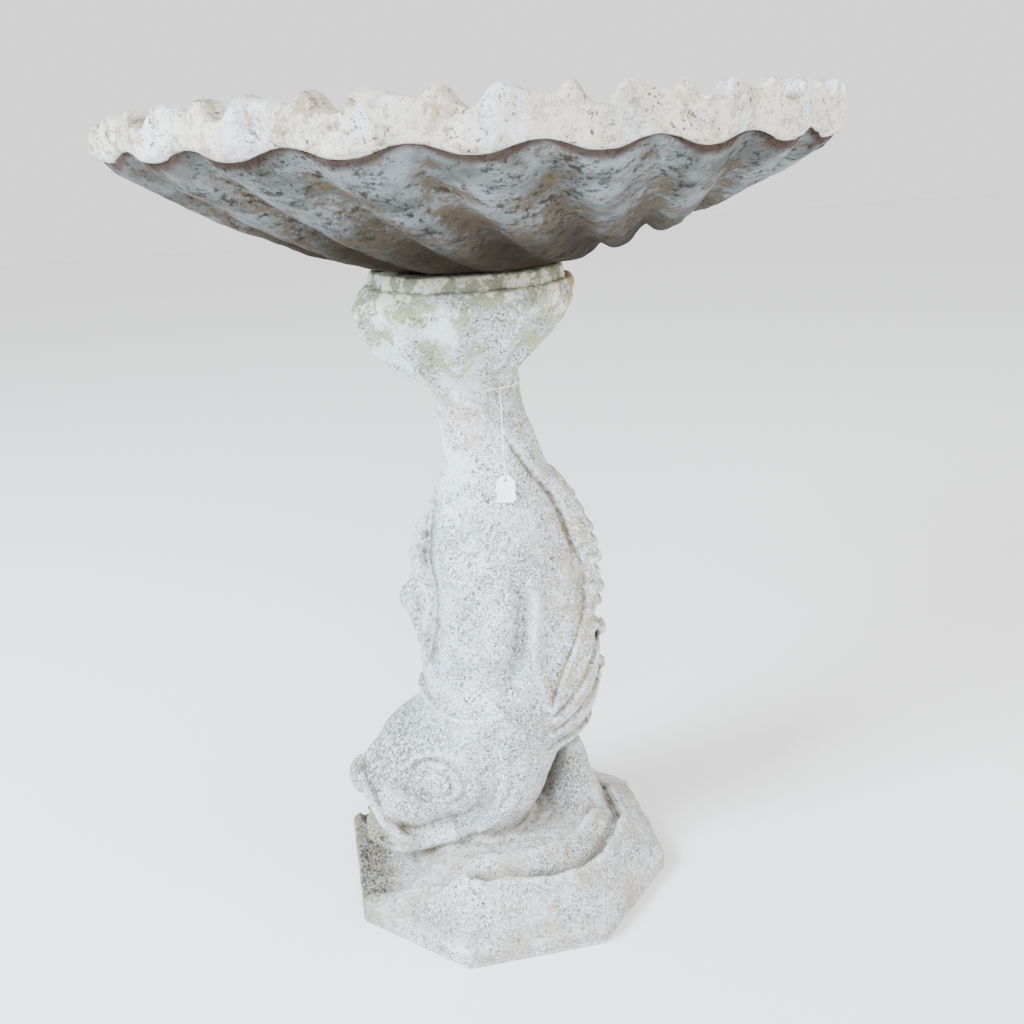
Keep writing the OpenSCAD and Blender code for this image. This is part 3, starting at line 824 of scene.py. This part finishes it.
# %% Basin heights
def basin_field(x, y):
    """Distance from the middle, place across a flute as an angle, depth of the flutes and rim fall."""
    rho = np.hypot(x - BASIN_X, y)
    away = np.hypot(x - HINGE[0], y - HINGE[1])
    turn = np.arctan2(y - HINGE[1], x - HINGE[0]) - math.radians(FLUTE_PHASE)
    turn = turn * 360 / FLUTE_STEP
    deep = smooth_step(away, 60, 230)
    fall = -0.019 * (x - BASIN_X) * smooth_step(rho, SEAT_R, BASIN_R)
    return rho, turn, deep, fall


def under_height(x, y):
    rho, turn, deep, fall = basin_field(x, y)
    plain = BASIN_RISE * (np.maximum(0, rho - SEAT_R) / (BASIN_R - SEAT_R)) ** 1.5
    crease = ((1 - np.cos(turn)) / 2) ** 1.6
    spread = smooth_step(rho, SEAT_R + 2, SEAT_R + 70)
    return SEAT_Z + plain + fall + FLUTE_DEPTH * spread * deep * crease


def rim_low_height(x, y):
    _, turn, deep, fall = basin_field(x, y)
    return SEAT_Z + BASIN_RISE + 2 + fall - 3.6 * np.cos(turn) * deep


def worn_end(x, y):
    """1 at the rim's worn end, on the -X side, and 0 elsewhere."""
    off = np.arctan2(y, BASIN_X - x)
    return np.exp(-(off / 0.62) ** 2) * smooth_step(np.hypot(x - BASIN_X, y), 150, 270)


def rim_top_height(x, y):
    _, turn, deep, fall = basin_field(x, y)
    turn = turn + 0.3 * np.sin(turn + 1)
    scallop = 3.5 * np.cos(turn) + 4.8 * np.cos(2 * turn) - 1.1 * np.cos(4 * turn + 0.6) + 5.2
    return SEAT_Z + BASIN_RISE + RIM_H + fall - scallop * deep - 11 * worn_end(x, y)


INSIDE_LOWER = 14


def inside_height(x, y):
    rho, turn, deep, fall = basin_field(x, y)
    climb = BASIN_RISE + RIM_H - SHELL_T - INSIDE_LOWER
    mean = SEAT_Z + SHELL_T + fall + climb * (rho / (BASIN_R - RIM_W)) ** 1.9
    flutes = -7 * np.cos(turn) * deep * smooth_step(rho, 60, 180)
    away = np.hypot(x - HINGE[0], y - HINGE[1])
    round_hinge = np.arctan2(y - HINGE[1], x - HINGE[0])
    rays = 0.6 + 0.4 * np.cos(15 * (round_hinge - HINGE_AT))
    fan = 9 * (1 - smooth_step(away, 8, 44)) * rays
    boss = 3 * (1 - smooth_step(np.hypot(x, y), 24, 40))
    return mean + flutes + fan + boss - 13 * worn_end(x, y)


# %% [markdown]
# Each station along the profile is a small recipe for a ring: its radius, how far its middle has
# moved from the dowel's axis to the bowl's own, and a height. The socket hole sits on the dowel's
# axis, while the rim is 10 mm off it, so the rings in between drift from one to the other.

# %% Basin rings
SOCKET_R = 11.5
AROUND = 600
basin_angle = np.linspace(0, 2 * math.pi, AROUND, endpoint=False)


def ring(rho, drift, height):
    """One ring of points; height is a number or a formula of the place."""
    x, y = BASIN_X * drift + rho * np.cos(basin_angle), rho * np.sin(basin_angle)
    z = height(x, y) if callable(height) else np.full(AROUND, float(height))
    return np.stack([x, y, z], axis=1)


def rim_ring(angle):
    """A ring on the rim band, whose section is a rounded oblong; the angle goes round that section."""
    middle, half = BASIN_R - RIM_W / 2, RIM_W / 2
    x, y = BASIN_X + middle * np.cos(basin_angle), middle * np.sin(basin_angle)
    rounder = worn_end(x, y)
    side = np.sign(math.cos(angle)) * abs(math.cos(angle)) ** (0.36 + 0.5 * rounder)
    level = 0.5 + 0.5 * np.sign(math.sin(angle)) * abs(math.sin(angle)) ** (0.42 + 0.5 * rounder)
    _, turn, deep, _ = basin_field(x, y)
    wave = (2.4 * np.cos(turn) - 2.4) * deep * np.maximum(0, side) * (1 - 0.3 * level)
    rho = middle + half * side + wave
    x, y = BASIN_X + rho * np.cos(basin_angle), rho * np.sin(basin_angle)
    low, top = rim_low_height(x, y), rim_top_height(x, y)
    return np.stack([x, y, low + (top - low) * level], axis=1)


def near_rim(x, y):
    """The underside, with the narrow undercut behind the rim's lower edge."""
    undercut = 3.5 * np.exp(-((BASIN_R - 9.5 - np.hypot(x - BASIN_X, y)) / 3.5) ** 2)
    return np.minimum(under_height(x, y) + undercut, rim_low_height(x, y) - 0.5)


seat_rings = [ring(0.5, 0, SEAT_Z + 23), ring(SOCKET_R, 0, SEAT_Z + 23), ring(SOCKET_R, 0, SEAT_Z + 12),
              ring(SOCKET_R, 0, SEAT_Z + 1), ring(SOCKET_R + 1, 0, SEAT_Z)]
seat_rings += [ring(SOCKET_R + 1 + (SEAT_R - SOCKET_R - 1) * s, s, SEAT_Z)
               for s in np.linspace(0.1, 1, 10)]
under_rings = [ring(rho, 1, near_rim) for rho in np.linspace(SEAT_R, BASIN_R - 9, 66)[1:]]
rim_rings = [rim_ring(angle) for angle in np.radians(np.concatenate(
    [np.linspace(-86, -20, 9), np.linspace(-12, 30, 6), np.linspace(38, 142, 14), [155, 170]]))]
inner_r = BASIN_R - RIM_W
inside_rings = [ring(inner_r - 1.5 - (inner_r - 2) * s ** 0.9, 1, inside_height)
                for s in np.linspace(0, 1, 52)]
basin_rings = seat_rings + under_rings + rim_rings + inside_rings
print("basin:", len(basin_rings), "rings of", AROUND, "points")


# %% Basin object
def ring_faces(rings, around):
    """Square faces between neighbouring rings, and a fan at each end."""
    k = np.arange(around)
    n = (k + 1) % around
    rows = [np.stack([a + k, a + around + k, a + around + n, a + n], axis=1)
            for a in range(0, (rings - 1) * around, around)]
    faces = np.concatenate(rows).tolist()
    return faces + [k.tolist(), ((rings - 1) * around + k[::-1]).tolist()]


basin_points = np.concatenate(basin_rings)
row = np.repeat(np.arange(len(basin_rings)), AROUND)
outer_row = smooth_step(row, len(seat_rings) + 2, len(seat_rings) + 14)
worn = roughness(basin_points, [(1.6, 38, 5), (1.1, 14, 6), (0.5, 6, 7)])
nicks = np.maximum(0, lumps(basin_points, 9, 8) - 0.45) * 5
worn = worn - nicks
flat_centre = np.array([BASIN_X, 0, SEAT_Z + 130.0])
away_from_centre = basin_points - flat_centre
away_from_centre /= np.linalg.norm(away_from_centre, axis=1)[:, None]
inside_row = row >= len(basin_rings) - len(inside_rings)
basin_points = basin_points + away_from_centre * np.where(inside_row, -0.6, 1)[:, None] \
    * (worn * outer_row)[:, None]
basin = piece("shell_basin", basin_points, ring_faces(len(basin_rings), AROUND), "basin")
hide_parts("basin_shell")

# %% [markdown]
# The material is told which points belong to the rim, how far down the underside a point lies, and
# which points lie in a crease between two flutes, where the dark stains are.

# %% Basin marks
rho, turn, deep, fall = basin_field(basin_points[:, 0], basin_points[:, 1])
first_rim = len(seat_rings) + len(under_rings)
on_rim = ((row >= first_rim) & (row < first_rim + len(rim_rings))).astype(float)
mark(basin, "rim", on_rim)
mark(basin, "underside", (row < first_rim).astype(float))
mark(basin, "crease", (1 - np.cos(turn)) / 2 * deep)
# Which side of a flute a point lies on, for painted shade on the rim.
mark(basin, "shaded_flank", np.sin(turn) * deep)
mark(basin, "out", rho / BASIN_R)
print("shell basin:", len(basin.data.polygons), "faces")

# %% [markdown]
# ## Bedding mortar
# The basin stands on a thin bed of old mortar. It was trowelled by hand, so its edge is ragged. A few
# waves and some noise on a profile's radius give that, with no two places alike.

# %% Mortar ring
def make_mortar():
    around, inner = 360, SOCKET_R + 5.6
    angle = np.linspace(0, 2 * math.pi, around, endpoint=False)
    ragged = 83 + 1.4 * np.sin(5 * angle) + 1.4 * np.sin(11 * angle + 0.7) + 0.8 * np.sin(23 * angle)
    low, high = bed_low[2], bed_high[2]
    profile = [(0.0, 0.0), (1.02, 0.0), (1.02, 0.2), (1.01, 0.45),
               (0.99, 0.7), (0.975, 0.9), (0.95, 1.0), (0.0, 1.0)]
    points = []
    for share, level in profile:
        radius = inner + (ragged - inner) * share
        points.append(np.stack([radius * np.cos(angle), radius * np.sin(angle),
                                np.full(around, low + (high - low) * level)], axis=1))
    points = np.concatenate(points)
    edge = np.repeat([share > 0.5 and 0 < level < 1 for share, level in profile], around)
    rough = roughness(points, [(0.012, 9, 11), (0.008, 4, 12)])
    points[:, :2] *= 1 + (rough * edge)[:, None]
    count, k = len(profile), np.arange(around)
    n = (k + 1) % around
    faces = [np.stack([j * around + k, j * around + n, (j + 1) % count * around + n,
                       (j + 1) % count * around + k], axis=1) for j in range(count)]
    return piece("mortar_bed", points, np.concatenate(faces), "pedestal")


mortar = make_mortar()
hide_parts("bedding_mortar")
print("mortar bed:", len(mortar.data.polygons), "faces")

# %% [markdown]
# ## Finishes
# A finish is a small network of nodes. Written as nodes, it is hard to read, so this class wraps a
# socket: + - * between two of them add the Math nodes, and one method makes any other node.

# %% Shader maths
class Paint:
    """A value on its way through a material's nodes."""
    def __init__(self, tree, socket=None):
        self.tree, self.socket = tree, socket

    def node(self, kind, settings=None, inputs=None, output=0):
        """A new node: its settings are set first, then its sockets get values or links."""
        made = self.tree.nodes.new("ShaderNode" + kind)
        for name, value in (settings or {}).items():
            setattr(made, name, value)
        for name, value in (inputs or {}).items():
            if isinstance(value, Paint):
                self.tree.links.new(value.socket, made.inputs[name])
            else:
                made.inputs[name].default_value = value
        return Paint(self.tree, made.outputs[output])

    def maths(self, operation, first, second):
        return self.node("Math", {"operation": operation}, {0: first, 1: second})

    def __add__(self, other):
        return self.maths("ADD", self, other)

    def __radd__(self, other):
        return self.maths("ADD", other, self)

    def __sub__(self, other):
        return self.maths("SUBTRACT", self, other)

    def __rsub__(self, other):
        return self.maths("SUBTRACT", other, self)

    def __mul__(self, other):
        return self.maths("MULTIPLY", self, other)

    def __rmul__(self, other):
        return self.maths("MULTIPLY", other, self)

    def between(self, low, high):
        """0 below low, 1 above high, and smooth between; low may be above high."""
        return self.node("MapRange", {"interpolation_type": "SMOOTHSTEP"},
                         {"Value": self, "From Min": low, "From Max": high})

    def over(self, base, colour):
        """This mask lays a colour over a base colour."""
        return self.node("Mix", {"data_type": "RGBA"}, {0: self, 6: base, 7: colour}, output=2)


# %% [markdown]
# Weathering is noise at several sizes. These helpers say it in a maker's terms: blotches of a given
# size, specks of a given size, and pits that are rare or common.

# %% Weathering helpers
def shade(red, green, blue):
    """A colour as it looks on a screen, from 0 to 255, turned into light."""
    def light(value):
        value /= 255
        return value / 12.92 if value <= 0.04045 else ((value + 0.055) / 1.055) ** 2.4
    return (light(red), light(green), light(blue), 1)


DULL = 0.12


class Surface(Paint):
    """A new material with its place on the object, and noise to weather it with."""
    def __init__(self, name):
        self.material = bpy.data.materials.new(name)
        self.material.use_nodes = True
        super().__init__(self.material.node_tree)
        self.shader = self.tree.nodes["Principled BSDF"]
        self.place = self.node("TexCoord", output="Object")
        parts = self.node("SeparateXYZ", {}, {0: self.place}).socket.node
        self.x, self.y, self.z = (Paint(self.tree, socket) for socket in parts.outputs)

    def mark(self, name):
        return self.node("Attribute", {"attribute_name": name}, output="Fac")

    def noise(self, size, detail=3.0, rough=0.55, shift=0.0, stretch=(1, 1, 1)):
        """Noise with blotches of a size in millimetres; shift gives another pattern."""
        place = self.node("Mapping", {}, {"Vector": self.place, "Location": (shift, shift * 0.7, -shift),
                                          "Scale": stretch})
        return self.node("TexNoise", {}, {"Vector": place, "Scale": 1000 / size, "Detail": detail,
                                          "Roughness": rough})

    def pits(self, size, shift=0.0):
        """Distance to the nearest of many scattered points, in widths of their spacing."""
        place = self.node("Mapping", {}, {"Vector": self.place, "Location": (shift, -shift, shift)})
        return self.node("TexVoronoi", {}, {"Vector": place, "Scale": 1000 / size}, output="Distance")

    def coated(self, colour, coats):
        """Thin coats over a colour, each a mask, its strength and a colour from 0 to 255."""
        for mask, strength, red_green_blue in coats:
            colour = (mask * strength).over(colour, shade(*red_green_blue))
        return colour

    def finish(self, colour, rough, height, bump_mm, shine=0.5):
        inputs = self.shader.inputs
        inputs["Specular IOR Level"].default_value = shine
        self.tree.links.new(colour.socket, inputs["Base Color"])
        if isinstance(rough, Paint):
            self.tree.links.new(rough.socket, inputs["Roughness"])
        else:
            inputs["Roughness"].default_value = rough
        bump = self.node("Bump", {}, {"Height": height, "Distance": bump_mm * MM, "Strength": 1.0})
        self.tree.links.new(bump.socket, inputs["Normal"])
        return self.material


def wear(made, material):
    made.data.materials.clear()
    made.data.materials.append(material)


# %% [markdown]
# ### Old cast concrete
# The fish is bare concrete: pale cement between grains of darker sand, with brown dirt and painted shade
# in every hollow. The finish is built as a painter would, in thin coats: each coat is a mask, its
# strength and a colour, and lies over the ones before it. The first coats are the cement, its sand, its
# dirt with painted shade, and its pale edges with a painted highlight.

# %% Concrete: grain, dirt and painted shade
def grain_coats(it, grain, sand):
    patchy = it.noise(16, 4, 0.65, shift=37)
    white_sand = it.noise(2.6, 2, 0.5, shift=11).between(0.52, 0.64)
    dark_sand = grain.between(0.51, 0.62) * patchy.between(0.28, 0.56)
    return [(patchy.between(0.52, 0.68), 0.5, (160, 154, 140)),
            (sand.between(0.48, 0.66), 0.6, (132, 128, 116)),
            (white_sand, 0.8, (244, 246, 246)),
            (dark_sand, 0.9, (70, 67, 58))]


def dirt_shade_and_highlight_coats(it, sand):
    # Wide and fine hollows darken with brown dirt and painted shade.
    dirt_and_shade = it.mark("hollow") + 0.5 * it.noise(14, 4, 0.6, shift=2) - 0.25
    fine = it.mark("fine_hollow") + 0.4 * it.noise(6, 3, 0.6, shift=5) - 0.2
    # Edges turn pale with wear and a painted highlight.
    worn_and_highlit_crest = it.mark("crest").between(0.06, 0.42) * sand.between(0.66, 0.44)
    return [(dirt_and_shade.between(0.12, 0.95), 0.6, (96, 86, 70)),
            (fine.between(0.06, 0.7), 0.7, (98, 92, 78)),
            (worn_and_highlit_crest, 0.6, (222, 228, 230))]


# %% [markdown]
# The next coats belong to places: painted shade on the wall in the hollow under the chin, the pitted
# forehead, the crumbling fin along the belly, and the rock, which has gone warm and carries a few ochre
# spots.

# %% Concrete: head, fin and rock
def place_coats(it, height):
    # Painted shade: the wall in the hollow under the chin is darkened, with dark speckles.
    shaded_wall = (-0.108 - it.x).between(0, 0.02) * (1 - height.between(62, 84)) \
        * (it.y + 0.085).between(0, 0.03)
    forehead = (-0.052 - it.x).between(0, 0.05) * height.between(92, 124)
    fin_edge = it.x.between(0.055, 0.082) * height.between(180, 240)
    rock_zone = 1 - height.between(55, 150)
    belly_side = it.x.between(0.0, 0.07) * height.between(100, 160) * (1 - height.between(450, 520))
    spots = (1 - it.pits(40, 1.7).between(0.05, 0.10)) * it.noise(5, 3, 0.6, shift=25).between(0.4, 0.6)
    return [(shaded_wall, 0.75, (126, 122, 112)),
            (shaded_wall * it.noise(2.8, 3, 0.7, shift=33).between(0.46, 0.56), 0.9, (44, 41, 35)),
            (forehead * it.noise(3.4, 4, 0.7, shift=35).between(0.45, 0.56), 0.8, (92, 86, 70)),
            (fin_edge * it.noise(6, 4, 0.7, shift=41).between(0.50, 0.58), 0.6, (126, 118, 92)),
            (fin_edge * it.noise(5, 4, 0.7, shift=43).between(0.54, 0.60), 0.8, (244, 244, 238)),
            (rock_zone * it.noise(30, 4, 0.6, shift=9).between(0.35, 0.7), 0.6, (160, 148, 126)),
            (belly_side * it.noise(22, 4, 0.6, shift=39).between(0.42, 0.6), 0.55, (170, 160, 134)),
            (spots * rock_zone, 0.75, (160, 134, 78))]


# %% [markdown]
# Under the basin the capital stays damp. It has yellow-green lichen, crusts of old cream and bluish
# paint, and a rust-coloured stain on its right. A pinkish patch lies on the neck.

# %% Concrete: capital and neck
def capital_coats(it, height):
    top = height.between(470, 520)
    brim = height.between(576, 586)
    lichen = it.noise(26, 5, 0.65, shift=4) * 0.8 + 0.2 * it.noise(7, 3, 0.6, shift=6)
    green = it.noise(3.2, 3, 0.7, shift=27).between(0.52, 0.62) \
        * it.noise(30, 3, 0.6, shift=29).between(0.42, 0.58)
    flakes = it.noise(20, 5, 0.7, shift=15).between(0.54, 0.57) * height.between(566, 578)
    paint = it.noise(34, 4, 0.6, shift=31).between(0.50, 0.56) * height.between(380, 440) * (1 - brim)
    rust = it.x.between(0.052, 0.085) * height.between(520, 560)
    across, up = it.x + 0.012, it.z - 0.475
    patch = 1 - ((across * across + up * up) * 900).between(0.1, 0.9)
    return [(lichen.between(0.46, 0.58) * top, 0.7, (156, 158, 112)),
            (green * top, 0.8, (96, 104, 78)),
            (brim * it.noise(14, 5, 0.7, shift=13).between(0.48, 0.56), 0.75, (138, 142, 116)),
            (flakes, 0.9, (222, 220, 196)),
            (paint * (-0.01 - it.x).between(-0.03, 0.02), 0.75, (214, 224, 230)),
            (rust * it.noise(18, 4, 0.6, shift=17).between(0.42, 0.6), 0.7, (178, 132, 84)),
            (patch * it.noise(16, 3, 0.6, shift=19).between(0.4, 0.65), 0.5, (204, 172, 148))]


# %% Cast concrete
def cast_concrete():
    it = Surface("cast_concrete")
    height = it.z * (1 / MM)
    grain, sand = it.noise(2.0, 2, 0.6), it.noise(4.0, 3, 0.7, shift=3)
    cloud = it.noise(45, 4, 0.6, shift=7).between(0.3, 0.7)
    cement = cloud.over(shade(168, 176, 184), shade(212, 221, 229))
    coats = grain_coats(it, grain, sand) + dirt_shade_and_highlight_coats(it, sand) + place_coats(it, height)
    colour = it.coated(cement, coats + capital_coats(it, height))
    relief = grain * 0.9 + sand + it.noise(8, 3, 0.6, shift=21) * 0.8
    pores = 1 - it.pits(6, 0.9).between(0.10, 0.26)
    return it.finish(colour, 0.92, relief - pores * 0.7, bump_mm=1.6, shine=DULL)


wear(pedestal, cast_concrete())

# %% [markdown]
# ### Painted basin
# The rim keeps most of a cream masonry paint, with painted shade on one side of each flute and painted
# light towards +X. Under it the shell is a smooth blue-grey, blackened by algae in patches and stained
# brown towards the seat, with painted shade round the seat, towards -X and in a thin line under the rim.
# The marks on the mesh tell these
# apart: the rim, the underside, the creases between flutes, the side of a flute, and how far out a point
# lies.

# %% Basin: the underside
def two_noises(it, fine, coarse, fine_shift, coarse_shift, fine_edge, coarse_edge):
    """Fine specks that come in groups: fine is (size, detail, rough), coarse is a size."""
    specks = it.noise(*fine, shift=fine_shift).between(*fine_edge)
    return specks * it.noise(coarse, 3, 0.6, shift=coarse_shift).between(*coarse_edge)


def underside_coats(it, out, black, specks):
    streak = it.noise(22, 5, 0.65, shift=3)
    # Painted shade: the underside darkens towards -X.
    shaded_left_side = (-0.02 - it.x).between(0, 0.2) * it.noise(26, 5, 0.7, shift=45).between(0.3, 0.62)
    brown = streak * 1.3 + it.noise(5, 5, 0.75, shift=36) * 0.9 + 0.12 * it.mark("crease") \
        + 0.03 - out * 0.75
    # Painted shade: the underside turns almost black round the seat, under the bowl.
    shaded_near_seat = 1 - (out + 0.35 * streak).between(0.58, 1.06)
    return [(shaded_left_side, 0.5, (66, 62, 56)),
            (brown.between(0.54, 0.76), 0.8, (78, 64, 46)),
            (shaded_near_seat, 0.95, (30, 22, 12)),
            (black, 0.85, (38, 33, 26)),
            (specks, 0.6, (50, 46, 40)),
            # Painted shadow: a thin dark ring on the underside just inside the rim's lower edge.
            (out.between(0.945, 0.962) * it.mark("underside"), 0.9, (58, 42, 34))]


# %% Basin: the rim and the inside
def rim_coats(it, out, dots):
    # Painted shade: one side of each flute turns bluish, as under skylight.
    sky_lit_flank_shade = it.mark("shaded_flank").between(0.1, 0.9) * it.noise(30, 3, 0.6, shift=16).between(0.35, 0.6)
    stain = two_noises(it, (14, 5, 0.7), 50, 18, 20, (0.48, 0.62), (0.40, 0.54))
    moss = two_noises(it, (11, 5, 0.7), 60, 24, 26, (0.60, 0.68), (0.50, 0.62))
    wet = 1 - out.between(0.35, 0.8)
    # Painted light: the cream turns lighter towards +X.
    return [(it.x.between(0, 0.25), 0.6, (226, 223, 214)),
            (sky_lit_flank_shade, 0.7, (208, 216, 228)),
            (it.noise(2.4, 3, 0.65, shift=38).between(0.48, 0.68), 0.5, (160, 152, 138)),
            (stain * (1 - it.x.between(-0.1, 0.25) * 0.6), 0.75, (134, 112, 88)),
            (dots, 0.9, (74, 66, 56)),
            (moss, 0.7, (108, 104, 78)),
            (wet * (1 - it.mark("rim")), 1, (112, 112, 96))]


# %% Painted concrete
def painted_concrete():
    it = Surface("painted_concrete")
    out, cloud = it.mark("out"), it.noise(40, 4, 0.6)
    black = two_noises(it, (9, 6, 0.75), 38, 8, 12, (0.53, 0.62), (0.42, 0.54))
    specks = two_noises(it, (4.4, 4, 0.65), 24, 34, 14, (0.58, 0.65), (0.40, 0.56))
    dots = two_noises(it, (3.4, 3, 0.6), 22, 32, 22, (0.60, 0.66), (0.42, 0.58))
    grey = cloud.between(0.35, 0.65).over(shade(78, 79, 77), shade(126, 131, 134))
    cream = cloud.between(0.3, 0.7).over(shade(180, 173, 160), shade(210, 204, 193))
    below = it.coated(grey, underside_coats(it, out, black, specks))
    above = it.coated(cream, rim_coats(it, out, dots))
    relief = it.noise(2.0, 4, 0.7, shift=28) * 0.5 + it.noise(7, 3, 0.6, shift=30)
    relief = relief - (dots + specks) * 0.9 - black * 0.6
    return it.finish(it.mark("underside").over(above, below), 0.85, relief, bump_mm=0.9, shine=DULL)


wear(basin, painted_concrete())

# %% [markdown]
# ### Small finishes
# The bed is cream mortar with grey-green patches. The dowel and its sockets are mild steel with rust
# blooming on it, which turns the metal dull where it lies. The tag is white card on white thread.

# %% Mortar, steel, thread and paper
def bedding_mortar():
    it = Surface("bedding_mortar")
    colour = it.noise(14, 5, 0.7).between(0.46, 0.54).over(shade(136, 138, 118), shade(204, 202, 186))
    colour = it.coated(colour, [(it.noise(2.0, 3, 0.7, shift=2).between(0.5, 0.75), 0.8, (78, 76, 64))])
    return it.finish(colour, 0.95, it.noise(2.5, 4, 0.7, shift=4), bump_mm=1.5, shine=DULL)


def plain_steel():
    it = Surface("plain_steel")
    rust = it.noise(16, 5, 0.65).between(0.45, 0.62)
    colour = rust.over(shade(128, 130, 132), shade(122, 78, 50))
    it.tree.links.new((0.9 - rust * 0.7).socket, it.shader.inputs["Metallic"])
    return it.finish(colour, rust * 0.4 + 0.42, it.noise(3, 4, 0.6, shift=3), bump_mm=0.3)


def white_thread():
    it = Surface("white_thread")
    colour = it.noise(3, 3, 0.6).between(0.4, 0.7).over(shade(238, 237, 232), shade(250, 250, 248))
    return it.finish(colour, 0.8, it.noise(0.6, 2, 0.6, stretch=(1, 1, 0.3)), bump_mm=0.15)


def tag_paper():
    it = Surface("tag_paper")
    colour = it.noise(6, 3, 0.6).between(0.4, 0.7).over(shade(240, 240, 238), shade(252, 252, 251))
    return it.finish(colour, 0.7, it.noise(0.9, 3, 0.6), bump_mm=0.06)


wear(mortar, bedding_mortar())
steel = plain_steel()
for name in ("core_bars", "core_ties", "pedestal_socket", "locating_dowel", "basin_socket",
             "basin_ring_wires", "basin_cross_wires"):
    wear(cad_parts[name], steel)
string_white = white_thread()
for made in (thread, loop, knot):
    wear(made, string_white)
wear(tag, tag_paper())
print("finishes:", sorted(material.name for material in bpy.data.materials))

# %% [markdown]
# ## Floor and light
# Soft light from the upper left leaves the undersides dark, as on an overcast day by a pale wall. The
# left light is a little blue and the right one a little warm, which separates the faces of the cast.

# %% Studio
def lamp(name, place, size, watts, colour, aim=(0, 0, 0.4)):
    light = bpy.data.lights.new(name, "AREA")
    light.size, light.energy, light.color = size, watts, colour
    made = bpy.data.objects.new(name, light)
    made.location = place
    made.rotation_euler = (Vector(aim) - Vector(place)).to_track_quat("-Z", "Y").to_euler()
    bpy.context.collection.objects.link(made)


lamp("sky_left", (-2.3, -0.9, 2.0), 1.1, 260, (0.76, 0.89, 1.0))
lamp("sky_front", (-0.3, -2.6, 1.9), 1.6, 60, (0.97, 0.98, 1.0))
lamp("warm_right", (2.2, -1.2, 1.4), 1.4, 45, (1.0, 0.93, 0.84))
world = bpy.data.worlds.new("studio")
world.use_nodes = True
sky = world.node_tree.nodes["Background"].inputs
sky["Color"].default_value, sky["Strength"].default_value = (1, 1, 1, 1), 1.5
bpy.context.scene.world = world

bpy.ops.mesh.primitive_plane_add(size=14, location=(0, 0, 0))
floor = bpy.context.object
floor.name = "floor"
pale = bpy.data.materials.new("pale_floor")
pale.use_nodes = True
paper = pale.node_tree.nodes["Principled BSDF"].inputs
paper["Base Color"].default_value, paper["Roughness"].default_value = (0.9, 0.9, 0.9, 1), 0.9
floor.data.materials.append(pale)
